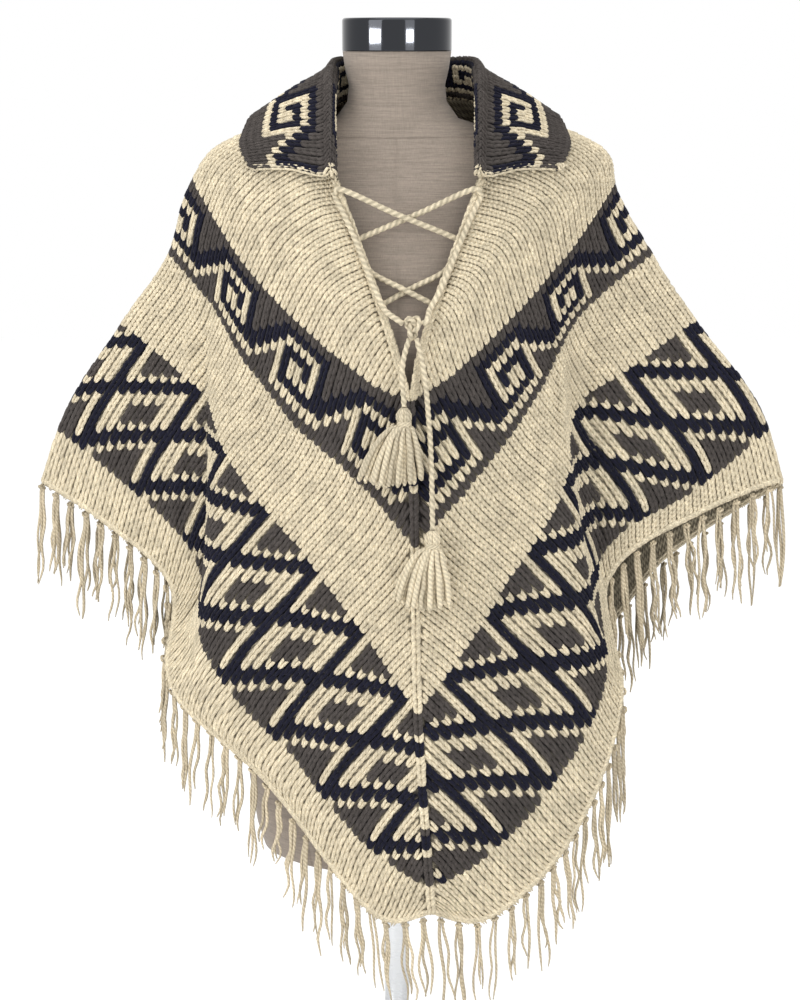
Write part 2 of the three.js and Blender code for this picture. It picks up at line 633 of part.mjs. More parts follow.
function torso() {
  const heights = FORM_SECTIONS.map((row) => row.up);
  const rings = FORM_LEVELS.map((up) => {
    const read = (column) => through(heights, FORM_SECTIONS.map((row) => row[column]), up);
    const [side, front, back] = [read("side"), read("front"), read("back")];
    return Array.from({ length: FORM_SIDES }, (_, k) => {
      const angle = 2 * Math.PI * k / FORM_SIDES;
      const deep = Math.sin(angle) < 0 ? front : back;
      return new THREE.Vector3(side * Math.cos(angle), deep * Math.sin(angle), up);
    });
  });
  return loft(rings);
}
addPiece("torso", torso(), COLOURS.linen);

// A turned piece about the Z axis, from its outline of [radius, height].
function turned(outline, sides) {
  const geometry = new THREE.LatheGeometry(outline.map(([r, up]) => new THREE.Vector2(r, up)), sides);
  geometry.rotateX(Math.PI / 2);
  return geometry;
}

const CAP_EDGE = 2;
addPiece("neck_cap", turned([
  [0, CAP_BOTTOM], [CAP_RADIUS, CAP_BOTTOM], [CAP_RADIUS, CAP_TOP - CAP_EDGE],
  [CAP_RADIUS - CAP_EDGE, CAP_TOP], [0, CAP_TOP],
], CAP_SIDES), COLOURS.chrome, 0.08, 1);

addPiece("post", turned([
  [0, BOSS_TOP + TOUCHING], [POST_RADIUS, BOSS_TOP + TOUCHING],
  [POST_RADIUS, FORM_BOTTOM - TOUCHING], [0, FORM_BOTTOM - TOUCHING],
], POST_SIDES), COLOURS.steel, 0.3, 1);

const BASE_EDGE = 4;
addPiece("base", turned([
  [0, 0], [BASE_RADIUS, 0], [BASE_RADIUS, BASE_THICKNESS - BASE_EDGE],
  [BASE_RADIUS - BASE_EDGE, BASE_THICKNESS], [BOSS_RADIUS, BASE_THICKNESS],
  [BOSS_RADIUS, BOSS_TOP], [0, BOSS_TOP],
], BASE_SIDES), COLOURS.steel, 0.35, 1);

export default part;
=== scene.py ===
# %% [markdown]
# A hand-knitted poncho, worn by a limbless dress form.
# The imported model gives every piece its place, and this lesson gives each of them its looks. We load the
# model first.

# %% Load the frame
import math
import bmesh
import bpy
import numpy as np
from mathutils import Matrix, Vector


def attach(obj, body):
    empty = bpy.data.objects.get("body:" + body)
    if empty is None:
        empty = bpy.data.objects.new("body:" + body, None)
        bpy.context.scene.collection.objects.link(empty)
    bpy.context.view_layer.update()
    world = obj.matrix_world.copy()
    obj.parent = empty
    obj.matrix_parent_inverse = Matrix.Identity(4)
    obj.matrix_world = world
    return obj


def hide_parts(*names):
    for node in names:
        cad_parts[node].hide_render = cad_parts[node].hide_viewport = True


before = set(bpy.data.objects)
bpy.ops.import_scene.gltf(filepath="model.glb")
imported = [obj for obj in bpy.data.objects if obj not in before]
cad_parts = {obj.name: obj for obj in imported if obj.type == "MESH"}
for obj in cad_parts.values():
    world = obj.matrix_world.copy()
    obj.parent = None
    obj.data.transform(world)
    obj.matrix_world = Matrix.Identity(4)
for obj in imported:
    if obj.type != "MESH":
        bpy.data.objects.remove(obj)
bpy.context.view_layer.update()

MM = 0.001
print("nodes:", sorted(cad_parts))

# %% [markdown]
# The camera stands where the photographer stood: in front, a little above the shoulders, looking down
# a few degrees. A long lens keeps the proportions calm. Its sensor is measured on the picture's long side.

# %% Camera
CAMERA_PLACE = (0.003, -2.2, 1.116)
CAMERA_TILT = 78.1
CAMERA_LENS = 79.4

camera_data = bpy.data.cameras.new("camera")
camera_data.lens = CAMERA_LENS
camera_data.sensor_width = 36
camera = bpy.data.objects.new("camera", camera_data)
camera.location = CAMERA_PLACE
camera.rotation_euler = (math.radians(CAMERA_TILT), 0, 0)
bpy.context.collection.objects.link(camera)
bpy.context.scene.camera = camera
print("camera at", CAMERA_PLACE)

# %% [markdown]
# A cord, a fringe yarn and one leg of a knitted stitch are all the same thing: a round body that follows
# a line. We shape that body once with operators: a cone of even width, cut into rings. Each copy of it is
# then bent to its own line with arrays, and the copies are joined in one mesh, because thousands of
# separate objects would be slow.

# %% The round body that every yarn is bent from
def yarn_pattern(sides, rings):
    shape = bmesh.new()
    bmesh.ops.create_cone(
        shape, cap_ends=True, cap_tris=True, segments=sides, radius1=1, radius2=1, depth=1)
    upright = [e for e in shape.edges if abs(e.verts[0].co.z - e.verts[1].co.z) > 0.5]
    if rings > 2:
        bmesh.ops.subdivide_edges(shape, edges=upright, cuts=rings - 2)
    places = np.array([v.co for v in shape.verts])
    at_middle = np.hypot(places[:, 0], places[:, 1]) < 0.5
    station = np.rint((places[:, 2] + 0.5) * (rings - 1)).astype(int) + 1
    station[at_middle & (places[:, 2] < 0)] = 0
    station[at_middle & (places[:, 2] > 0)] = rings + 1
    angle = np.arctan2(places[:, 1], places[:, 0])
    corners = [[v.index for v in face.verts] for face in shape.faces]
    shape.free()
    turns = []
    for face in corners:
        turn = [angle[i] / (2 * math.pi) % 1 for i in face]
        if max(turn) - min(turn) > 0.5:
            turn = [t + 1 if t < 0.5 else t for t in turn]
        turns += turn
    return {
        "station": station,
        "angle": angle,
        "corners": np.concatenate(corners),
        "sizes": np.array([len(face) for face in corners]),
        "turns": np.array(turns),
        "stations": rings + 2,
    }


# %% [markdown]
# Each copy needs a middle line and two directions across it. The directions are as long as the yarn is
# thick there, so they are zero at both end points, where the yarn closes.

# %% Bend and join the copies
def joined_yarns(name, pattern, middle, across, lift, colour=None, along=None, lobes=None):
    count = len(middle)
    station = pattern["station"]
    angle = pattern["angle"]
    out = np.cos(angle)[None, :, None] * across[:, station]
    out = out + np.sin(angle)[None, :, None] * lift[:, station]
    if lobes is not None:
        depth, pitch = lobes
        twist = angle[None, :] - 2 * math.pi * along[:, station] / pitch
        out = out * (1 - depth * (1 - np.abs(np.cos(twist))))[:, :, None]
    points = (middle[:, station] + out).reshape(-1, 3)
    size = len(station)
    shift = np.arange(count) * size
    corners = (pattern["corners"][None, :] + shift[:, None]).ravel()
    sizes = np.tile(pattern["sizes"], count)
    mesh = bpy.data.meshes.new(name)
    mesh.vertices.add(len(points))
    mesh.vertices.foreach_set("co", points.astype(np.float32).ravel())
    mesh.loops.add(len(corners))
    mesh.loops.foreach_set("vertex_index", corners.astype(np.int32))
    mesh.polygons.add(len(sizes))
    mesh.polygons.foreach_set("loop_start", (np.cumsum(sizes) - sizes).astype(np.int32))
    mesh.update(calc_edges=True)
    mesh.shade_smooth()
    if along is None:
        along = np.tile(np.linspace(0, 1, pattern["stations"]) * 0.012, (count, 1))
    uv = np.empty((count, len(pattern["corners"]), 2))
    uv[:, :, 0] = along[:, station[pattern["corners"]]] * 100
    uv[:, :, 1] = pattern["turns"][None, :]
    layer = mesh.uv_layers.new(name="Yarn")
    layer.uv.foreach_set("vector", uv.astype(np.float32).ravel())
    if colour is not None:
        rgba = np.ones((count, size, 4))
        rgba[:, :, :3] = colour[:, None, :]
        paint = mesh.color_attributes.new(name="wool", type="FLOAT_COLOR", domain="POINT")
        paint.data.foreach_set("color", rgba.astype(np.float32).ravel())
    piece = bpy.data.objects.new(name, mesh)
    bpy.context.collection.objects.link(piece)
    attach(piece, "root")
    print(name, "-", count, "yarns,", int(np.sum(sizes - 2)), "triangles")
    return piece


# %% [markdown]
# The cloth's form comes from the same tables as the solid: at a few distances "down" from the neck edge
# they give the places of the fold lines, and a smooth curve runs through them. Millimetres are easier to
# read in such a table, so the points become metres only at the end.

# %% Sizes of the knitting
CLOTH = 5
DEPTH = 516
MIDDLE_X = 12
SLIT_DOWN = 156
SLIT_TOP_HALF_WIDTH = 70.5
SLIT_CURVE = 1.3
SEAM_GAP = 0.36

DOWNS = [0, 60, 120, 168, 240, 355, 475, 516]
# Each row has, at one distance down, the tip, front, corner, crease, wing and ridge as out, fore and up.
LEFT_FRONT = [
    [(75, 77, 987), (78, 68, 997), (82, 54, 1014), (84, 37, 1033), (83, 19, 1042), (80, 0, 1046)],
    [(57, 99, 922), (75, 91, 945), (94, 80, 969), (111, 65, 993), (127, 42, 1016), (139, 0, 1030)],
    [(48, 118, 860), (84, 104, 897), (120, 78, 932), (148, 57, 958), (176, 32, 984), (196, 0, 1004)],
    [(37, 130, 797), (76, 112, 836), (124, 84, 877), (163, 54, 911), (196, 24, 943), (220, 0, 965)],
    [(47, 134, 718), (105, 105, 773), (158, 70, 816), (194, 38, 852), (218, 16, 882), (238, 0, 908)],
    [(48, 148, 536), (106, 125, 580), (182, 82, 676), (206, 38, 752), (244, 22, 788), (290, 0, 832)],
    [(48, 160, 336), (122, 136, 392), (214, 104, 484), (222, 46, 592), (290, 24, 672), (356, 0, 725)],
    [(24, 166, 266), (142, 130, 396), (239, 86, 482), (241, 44, 575), (310, 24, 636), (374, 0, 673)],
]
RIGHT_FRONT = [
    [(73, 77, 987), (76, 68, 997), (81, 54, 1014), (84, 37, 1033), (83, 19, 1042), (80, 0, 1046)],
    [(56, 99, 921), (76, 90, 942), (96, 77, 965), (114, 62, 988), (130, 40, 1011), (142, 0, 1030)],
    [(42, 118, 860), (77, 103, 897), (112, 78, 932), (146, 55, 960), (175, 30, 984), (196, 0, 1002)],
    [(40, 122, 792), (77, 103, 829), (118, 76, 869), (159, 42, 915), (185, 19, 942), (206, 0, 966)],
    [(50, 132, 697), (98, 105, 745), (137, 72, 792), (164, 36, 843), (204, 14, 874), (244, 0, 900)],
    [(50, 154, 522), (98, 128, 590), (150, 92, 681), (169, 38, 757), (224, 22, 790), (290, 0, 834)],
    [(72, 155, 327), (141, 128, 391), (193, 92, 484), (196, 44, 612), (292, 23, 671), (364, 0, 728)],
    [(72, 158, 262), (158, 128, 330), (214, 80, 462), (204, 43, 584), (302, 24, 648), (381, 0, 673)],
]
# The back has the same lines from the ridge to its tip: wing, crease, corner, front and tip.
BACK = [
    [(77, -20, 1050), (68, -38, 1053), (54, -52, 1055), (37, -62, 1056), (19, -67, 1056)],
    [(134, -32, 1025), (119, -58, 1014), (95, -77, 1001), (65, -90, 988), (33, -97, 978)],
    [(186, -34, 992), (164, -64, 972), (130, -88, 948), (88, -102, 923), (44, -109, 903)],
    [(205, -30, 949), (184, -60, 925), (146, -90, 893), (98, -106, 861), (49, -114, 836)],
    [(226, -28, 887), (202, -58, 860), (160, -92, 820), (108, -112, 776), (54, -122, 738)],
    [(264, -24, 798), (226, -46, 757), (180, -92, 700), (120, -120, 636), (60, -140, 583)],
    [(314, -26, 678), (254, -48, 622), (208, -104, 540), (140, -130, 460), (70, -153, 403)],
    [(330, -26, 636), (268, -48, 583), (222, -106, 500), (148, -132, 418), (72, -155, 358)],
]
BACK_RIDGE_OUT = [80, 139, 196, 214, 240, 290, 360, 378]
# The seams are x, fore and up. Above SLIT_DOWN the front one is the middle of the slit.
FRONT_SEAM = [(10.5, 84, 981), (10.5, 104, 899), (10.8, 124, 822), (14, 138, 755),
              (17, 150, 645), (20, 165, 479), (32, 165, 300), (34, 165, 273)]
BACK_SEAM = [(12, -68, 1056), (12, -99, 972), (12, -112, 890), (12, -118, 821),
             (13, -127, 714), (13, -144, 546), (14, -157, 370), (14, -158, 328)]
HALVES = {"left": (-1, LEFT_FRONT), "right": (1, RIGHT_FRONT)}
LAST_PLACE = 12


# %% A smooth curve through points
def through(knots, values, at):
    knots = np.asarray(knots, float)
    values = np.asarray(values, float)
    at = np.atleast_1d(np.asarray(at, float))
    if values.ndim == 1:
        values = values[:, None]
    span = np.diff(knots)
    rate = np.diff(values, axis=0) / span[:, None]
    slope = np.empty_like(values)
    slope[0] = rate[0]
    slope[-1] = rate[-1]
    wide = (span[1:] + span[:-1])[:, None]
    slope[1:-1] = (rate[:-1] * span[1:, None] + rate[1:] * span[:-1, None]) / wide
    i = np.clip(np.searchsorted(knots, at) - 1, 0, len(knots) - 2)
    share = ((at - knots[i]) / span[i])[:, None]
    square = share ** 2
    cube = share ** 3
    return (
        values[i] * (2 * cube - 3 * square + 1)
        + values[i + 1] * (3 * square - 2 * cube)
        + span[i][:, None] * (slope[i] * (cube - 2 * square + share) + slope[i + 1] * (cube - square))
    )


# %% The fold lines at one distance down, and a ring of the cloth between them
def slit_half_width(down):
    return SLIT_TOP_HALF_WIDTH * max(0, 1 - down / SLIT_DOWN) ** SLIT_CURVE


def section(half, down):
    side, front = HALVES[half]
    seam = through(DOWNS, FRONT_SEAM, down)[0]
    rear = through(DOWNS, BACK_SEAM, down)[0]
    fore_lines = [through(DOWNS, [row[line] for row in front], down)[0] for line in range(6)]
    mean_out = through(DOWNS, BACK_RIDGE_OUT, down)[0, 0]
    wide = fore_lines[5][0] / mean_out - 1
    points = [(seam[0] + side * max(slit_half_width(down), SEAM_GAP / 2), -seam[1], seam[2])]
    points += [(MIDDLE_X + side * out, -fore, up) for out, fore, up in fore_lines]
    for line in range(5):
        out, fore, up = through(DOWNS, [row[line] for row in BACK], down)[0]
        points.append((MIDDLE_X + side * out * (1 + wide * (out / mean_out) ** 2), -fore, up))
    points.append((rear[0] + side * SEAM_GAP / 2, -rear[1], rear[2]))
    return np.array(points)


def ring(half, down, places):
    points = section(half, down)
    steps = np.sqrt(np.linalg.norm(np.diff(points, axis=0), axis=1))
    knots = np.concatenate([[0], np.cumsum(steps)])
    i = np.minimum(places.astype(int), LAST_PLACE - 1)
    return through(knots, points, knots[i] + (places - i) * (knots[i + 1] - knots[i]))


# %% [markdown]
# Knitting is a grid: rows run round the body and wales run down it. A row here is 7.4 mm high and a wale
# is 9.4 mm wide. We lay out fine rings of points, lift them into soft creases placed where the
# photograph has them, with similar ones on the back, and read the rows from them. The length along a row
# is measured from the shoulder ridge, so a wale is simply a fixed distance along it.

# %% The cloth as a table of points
ROWS = 70
WALE = 9.4
PLACE_TABLE = np.linspace(0, LAST_PLACE, 361)
RIDGE_COLUMN = 180

CREASE_FADE = 30
CREASE_RUN_OUT = 60
CALM_EDGE = 0.6

# Each crease: half, from (down, place), to (down, place), height in mm, width in mm. A height below zero
# is a trough.
CREASES = [
    ("left", (150, 3.2), (330, 2.4), -2.2, 16),
    ("left", (260, 4.2), (500, 3.6), -4.4, 13),
    ("left", (300, 4.6), (505, 4.3), 3.0, 11),
    ("left", (300, 1.2), (500, 1.6), 2.0, 20),
    ("left", (360, 5.0), (500, 4.9), -2.0, 14),
    ("right", (170, 3.4), (330, 3.0), -2.4, 15),
    ("right", (280, 1.8), (500, 2.2), -2.2, 18),
    ("right", (300, 4.4), (505, 3.9), -4.2, 12),
    ("right", (280, 3.4), (505, 3.2), 2.6, 12),
    ("right", (230, 0.9), (420, 1.2), 1.6, 18),
    ("left", (200, 8.4), (480, 9.0), -2.6, 18),
    ("left", (320, 10.4), (505, 10.8), 2.2, 20),
    ("left", (330, 7.2), (500, 7.3), -2.0, 14),
    ("right", (180, 8.8), (470, 9.3), -2.4, 17),
    ("right", (300, 10.8), (505, 10.2), -2.2, 19),
    ("right", (360, 7.4), (505, 7.2), 2.0, 15),
]


def unit(vectors):
    return vectors / np.maximum(np.linalg.norm(vectors, axis=-1, keepdims=True), 1e-12)


def face_directions(side, points):
    down_way = np.gradient(points, axis=0)
    across = np.gradient(points, axis=1)
    return unit(np.cross(across, down_way)) * -side


def crease_lift(half, downs, points):
    lift = np.zeros(points.shape[:2])
    for owner, (down_a, place_a), (down_b, place_b), height, width in CREASES:
        if owner != half:
            continue
        share = np.clip((downs - down_a) / (down_b - down_a), 0, 1)
        place = place_a + (place_b - place_a) * share
        column = np.rint(place / LAST_PLACE * (len(PLACE_TABLE) - 1)).astype(int)
        line = points[np.arange(len(downs)), column]
        apart = np.linalg.norm(points - line[:, None, :], axis=2)
        beyond = np.maximum(down_a - downs, 0) + np.maximum(downs - down_b, 0)
        ends = np.exp(-(beyond / CREASE_FADE) ** 2)
        run = (downs - down_a + CREASE_RUN_OUT) / (down_b - down_a + 2 * CREASE_RUN_OUT)
        swell = np.sin(np.pi * np.clip(run, 0, 1))
        lift += height * (ends * swell)[:, None] * np.exp(-(apart / width) ** 2)
    return lift


# The edges of both bands don't lie level all round: at these places, their rows lie this far down. We
# read the edges off the photograph, found where they cross these rings, and evened the result.
BAND_ROWS = [0, 23, 32, 48, 65, ROWS]
BAND_PLACES = [0, 1, 2, 3, 4, 5, 6, 12]
BAND_DOWNS = {
    "left": [
        (152, 171, 181, 181, 175, 165, 152, 165),
        (244, 255, 260, 250, 236, 240, 246, 240),
        (356, 342, 326, 330, 342, 343, 354, 354),
        (478, 467, 440, 440, 458, 471, 475, 477),
    ],
    "right": [
        (152, 163, 167, 168, 171, 165, 159, 165),
        (244, 248, 244, 238, 244, 238, 236, 240),
        (356, 348, 348, 356, 356, 351, 352, 354),
        (478, 476, 475, 478, 480, 475, 477, 477),
    ],
}
FINE_DOWNS = np.linspace(0, DEPTH, 173)


def row_downs(half):
    edges = [np.interp(PLACE_TABLE, BAND_PLACES, line) for line in BAND_DOWNS[half]]
    edges = np.array([np.zeros(len(PLACE_TABLE)), *edges, np.full(len(PLACE_TABLE), DEPTH)])
    rows = np.arange(2 * ROWS + 1) / 2
    return np.stack([np.interp(rows, BAND_ROWS, column) for column in edges.T], axis=1)


def lay_out(half):
    side = HALVES[half][0]
    points = np.array([ring(half, down, PLACE_TABLE) for down in FINE_DOWNS])
    lift = crease_lift(half, FINE_DOWNS, points)
    edge = np.minimum(PLACE_TABLE, LAST_PLACE - PLACE_TABLE)
    calm = np.clip(edge / CALM_EDGE, 0, 1)[None, :]
    points = points + face_directions(side, points) * (lift * calm)[:, :, None]
    wanted = row_downs(half)
    points = np.stack([
        [np.interp(wanted[:, column], FINE_DOWNS, points[:, column, axis]) for axis in range(3)]
        for column in range(len(PLACE_TABLE))]).transpose(2, 0, 1)
    steps = np.linalg.norm(np.diff(points, axis=1), axis=2)
    arc = np.concatenate([np.zeros((len(points), 1)), np.cumsum(steps, axis=1)], axis=1)
    arc = arc[:, RIDGE_COLUMN][:, None] - arc
    return {"points": points, "face": face_directions(side, points), "arc": arc}


cloth = {half: lay_out(half) for half in HALVES}
for half, table in cloth.items():
    print(half, "lengths along the hem:", round(table["arc"][-1, 0]), round(-table["arc"][-1, -1]), "mm")


# %% Read the table at a distance from the ridge
def on_cloth(half, level, arc, what="points"):
    table = cloth[half]
    known = -table["arc"][level]
    values = table[what][level]
    return np.stack([np.interp(-np.asarray(arc), known, values[:, axis]) for axis in range(3)], axis=-1)


# %% [markdown]
# The pattern is knitted from charts, as a knitter draws them: one letter for each stitch, C for cream,
# G for grey-brown and N for navy. The upper band is a running wave eleven stitches long. The lower band is
# a lattice of thin navy lines, with cream cells that have a grey lozenge in them.

# %% Charts and wool colours
WAVE_CHART = [
    "GGGGGGGGGGG",
    "NNNNNNNGGGG",
    "NCCCCCNGGGN",
    "CNNNNCNGGNN",
    "CNCCNCNGNNC",
    "CNCCCCNNNCG",
    "CNNNNNNNCGG",
    "CCCCCCCCGGG",
    "GGGGGGGGGGG",
]
WAVE_TOP_ROW = 23
WAVE_START = 3
LATTICE_TOP_ROW = 48
LATTICE_ROWS = 17
LATTICE_REPEAT = 8
LATTICE_START = {"left": 5, "right": 7}
WOOL = {
    "C": (0.585, 0.51, 0.37),
    "G": (0.058, 0.05, 0.046),
    "N": (0.0065, 0.007, 0.017),
}


def lattice_letter(row, wale):
    column = wale % LATTICE_REPEAT
    level = (row + column) % LATTICE_REPEAT
    cell = (row + column) // LATTICE_REPEAT
    if column == 0 or level in (7, 0):
        return "N"
    if cell == 1:
        return "G" if 3 <= column <= 5 and 3 <= level <= 5 else "C"
    if cell == 0:
        return "C" if column == 1 or level == 6 else "G"
    return "C" if column == 7 or level == 1 else "G"


def letter_at(half, row, wale):
    if WAVE_TOP_ROW <= row < WAVE_TOP_ROW + len(WAVE_CHART):
        return WAVE_CHART[row - WAVE_TOP_ROW][(wale + WAVE_START) % len(WAVE_CHART[0])]
    if LATTICE_TOP_ROW <= row < LATTICE_TOP_ROW + LATTICE_ROWS:
        return lattice_letter(row - LATTICE_TOP_ROW, wale + LATTICE_START[half])
    return "C"


# %% [markdown]
# A V stitch is two legs of yarn. Each leg starts wide apart, tucked under the stitch above, and meets its
# partner in front of the stitch below. So the cloth stays readable from far and near, every stitch is
# modelled, with a plain spindle of thirty triangles for a leg.

# %% Lay the stitches
LEG = yarn_pattern(5, 3)
LEG_STATIONS = np.array([
    # across in wales, down in rows, lift in mm, half width and half thickness in mm
    (0.30, -0.95, -3.2, 0.0, 0.0),
    (0.28, -0.45, -2.1, 2.0, 1.9),
    (0.23, 0.05, -1.7, 2.3, 2.1),
    (0.17, 0.55, -1.4, 2.05, 1.95),
    (0.09, 1.0, -2.4, 0.0, 0.0),
])
LEG_LEAN = 0.14
UNEVEN_SIZE = 0.07
UNEVEN_SWAY = 0.018
UNEVEN_RISE = 0.18
UNEVEN_SHADE = 0.06
# Between dark stitches the cream ones are drawn in, so they are narrower.
TIGHT_CREAM = 0.84


def stitch_legs(centre, wale_way, row_way, face, colour, seed):
    dice = np.random.default_rng(seed)
    count = len(centre)
    middle = []
    across = []
    lift = []
    shade = []
    for hand in (-1, 1):
        swell = 1 + UNEVEN_SIZE * dice.standard_normal(count)
        size = swell * np.linalg.norm(wale_way, axis=1) / WALE
        sway = UNEVEN_SWAY * dice.standard_normal(count)
        rise = UNEVEN_RISE * dice.standard_normal(count)
        a, d, n, half_wide, half_thick = LEG_STATIONS.T
        side_way = hand * a[None, :] + sway[:, None]
        spot = (
            centre[:, None, :]
            + side_way[:, :, None] * wale_way[:, None, :]
            + d[None, :, None] * row_way[:, None, :]
            + (n[None, :] + rise[:, None])[:, :, None] * face[:, None, :]
        )
        lean = unit(wale_way[:, None, :] + hand * LEG_LEAN * unit(row_way)[:, None, :] * WALE)
        middle.append(spot)
        across.append(lean * (half_wide[None, :] * size[:, None])[:, :, None])
        thick = half_thick[None, :] * swell[:, None]
        lift.append(np.broadcast_to(face[:, None, :], spot.shape) * thick[:, :, None])
        shade.append(colour * (1 + UNEVEN_SHADE * dice.standard_normal(count))[:, None])
    return [np.concatenate(group) for group in (middle, across, lift, shade)]


def add_stitches(name, frames, seed):
    middle, across, lift, shade = stitch_legs(*frames, seed)
    return joined_yarns(name, LEG, middle * MM, across * MM, lift * MM, np.clip(shade, 0, 1))


# Beside the seams a quarter of a wale is left free for the chain that covers them.
SPINE_ROOM = 0.25


def stitch_frames(half, first_row, last_row):
    found = []
    for row in range(first_row, last_row):
        level = 2 * row + 1
        arc = cloth[half]["arc"][level]
        front_wales = int(arc[0] / WALE - SPINE_ROOM)
        back_wales = int(-arc[-1] / WALE - SPINE_ROOM)
        wales = np.arange(-back_wales, front_wales)
        at = (wales + 0.5) * WALE
        centre = on_cloth(half, level, at)
        face = unit(on_cloth(half, level, at, "face"))
        beside = on_cloth(half, level, at + 1.5) - on_cloth(half, level, at - 1.5)
        row_way = on_cloth(half, level + 1, at) - on_cloth(half, level - 1, at)
        letters = [letter_at(half, row, int(wale)) for wale in wales]
        colour = np.array([WOOL[letter] for letter in letters])
        in_band = row >= LATTICE_TOP_ROW or WAVE_TOP_ROW <= row < WAVE_TOP_ROW + len(WAVE_CHART)
        in_band &= row < LATTICE_TOP_ROW + LATTICE_ROWS
        width = np.where(in_band & (np.array(letters) == "C"), TIGHT_CREAM, 1)[:, None]
        found.append((centre, unit(beside) * WALE * width, row_way, face, colour))
    return [np.concatenate([part[i] for part in found]) for i in range(5)]


STITCH_SEED = 11
STITCH_PARTS = [("yoke", 0, 33), ("middle", 33, 52), ("hem", 52, ROWS)]
stitches = {"left": [], "right": []}
for half in HALVES:
    for number, (part, first_row, last_row) in enumerate(STITCH_PARTS):
        frames = stitch_frames(half, first_row, last_row)
        piece = add_stitches(f"{half}_{part}_stitches", frames, STITCH_SEED + number)
        stitches[half].append(piece)

# %% [markdown]
# Between the wales the ground of the cloth shows: the sides of the yarn, in shadow. Its colour is the
# wool's, darkened to paint that shadow. It is a thin sheet that follows the same table, just under the
# stitches. We make a flat grid, give every corner its place, and let a Solidify modifier turn the sheet
# into a wall as thick as the rest of the cloth.

# %% The ground of each half
GROUND_DEPTH = 2.4
GROUND_WALL = CLOTH - GROUND_DEPTH
GROUND_COLUMNS = 84
# Painted shadow: the ground's colour is the wool's colour times this.
GROUND_PAINTED_SHADOW = 0.42


def ground_piece(name, grid, places, faces, yarn_map, letters):
    for vert, place in zip(grid.verts, places * MM):
        vert.co = place
    grid.verts.ensure_lookup_table()
    grid.normal_update()
    some = len(places) // 2
    if grid.verts[some].normal.dot(Vector(faces[some])) < 0:
        bmesh.ops.reverse_faces(grid, faces=grid.faces)
    layer = grid.loops.layers.uv.new("Yarn")
    for face in grid.faces:
        for loop in face.loops:
            loop[layer].uv = yarn_map[loop.vert.index]
    mesh = bpy.data.meshes.new(name)
    grid.to_mesh(mesh)
    grid.free()
    rgba = np.ones((len(places), 4))
    rgba[:, :3] = [WOOL[letter] for letter in letters]
    # The painted shadow between the wales darkens the ground's colour.
    rgba[:, :3] *= GROUND_PAINTED_SHADOW
    paint = mesh.color_attributes.new(name="wool", type="FLOAT_COLOR", domain="POINT")
    paint.data.foreach_set("color", rgba.astype(np.float32).ravel())
    mesh.shade_smooth()
    piece = bpy.data.objects.new(name, mesh)
    bpy.context.collection.objects.link(piece)
    wall = piece.modifiers.new("wall", "SOLIDIFY")
    wall.thickness = GROUND_WALL * MM
    wall.offset = -1
    print(name, "-", len(mesh.polygons), "faces")
    return piece


def flat_grid(columns, rows):
    grid = bmesh.new()
    bmesh.ops.create_grid(grid, x_segments=columns, y_segments=rows, size=1)
    share = (np.array([v.co for v in grid.verts])[:, :2] + 1) / 2
    return grid, share[:, 0], np.rint(share[:, 1] * rows).astype(int)


def ground_sheet(half):
    grid, column, row = flat_grid(GROUND_COLUMNS, ROWS)
    ends = cloth[half]["arc"][2 * row]
    arc = np.where(column < 0.5, ends[:, 0] * (1 - 2 * column), ends[:, -1] * (2 * column - 1))
    places = np.empty((len(row), 3))
    faces = np.empty((len(row), 3))
    for level in range(ROWS + 1):
        here = row == level
        faces[here] = unit(on_cloth(half, 2 * level, arc[here], "face"))
        places[here] = on_cloth(half, 2 * level, arc[here])
    wale = np.floor(arc / WALE).astype(int)
    letters = [letter_at(half, min(r, ROWS - 1), w) for r, w in zip(row, wale)]
    yarn_map = np.stack([arc / WALE, row], axis=1)
    places -= faces * GROUND_DEPTH
    piece = ground_piece(f"{half}_ground", grid, places, faces, yarn_map, letters)
    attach(piece, "root")
    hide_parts(f"{half}_half")
    return piece


ground = {half: ground_sheet(half) for half in HALVES}

# %% [markdown]
# Along its edges knitting curls and ends in a chain of stitches. The slit's edges, the hem, the spines
# where the wales of both halves meet, and the collar's edge are all such chains. One helper lays stitches
# along any line, in one colour or in a colour for each point of the line.

# %% A chain of stitches along a line
CHAIN_STEP = 7.4


def chain_frames(line, face, width=1.0, letters="C"):
    line = np.asarray(line, float)
    face = np.asarray(face, float)
    length = np.concatenate([[0], np.cumsum(np.linalg.norm(np.diff(line, axis=0), axis=1))])
    count = max(1, round(length[-1] / CHAIN_STEP))
    at = (np.arange(count) + 0.5) * length[-1] / count
    half_step = 0.5 * length[-1] / count

    def read(values, where):
        return np.stack([np.interp(where, length, values[:, axis]) for axis in range(3)], axis=-1)

    centre = read(line, at)
    row_way = read(line, at + half_step) - read(line, at - half_step)
    out = unit(read(face, at))
    side_way = unit(np.cross(row_way, out)) * WALE * width
    nearest = np.rint(np.interp(at, length, np.arange(len(line)))).astype(int)
    colour = np.array([WOOL[letters[i % len(letters)]] for i in nearest])
    return [centre, side_way, row_way, out, colour]


def cloth_line(half, levels, place, lift, inset=0.0):
    table = cloth[half]
    column = int(round(place / LAST_PLACE * (len(PLACE_TABLE) - 1)))
    toward = 4 if place < 6 else -4
    points = table["points"][levels, column]
    inner = table["points"][levels, column + toward]
    face = table["face"][levels, column + (1 if place < 6 else -1)]
    return points + unit(inner - points) * inset + face * lift, face


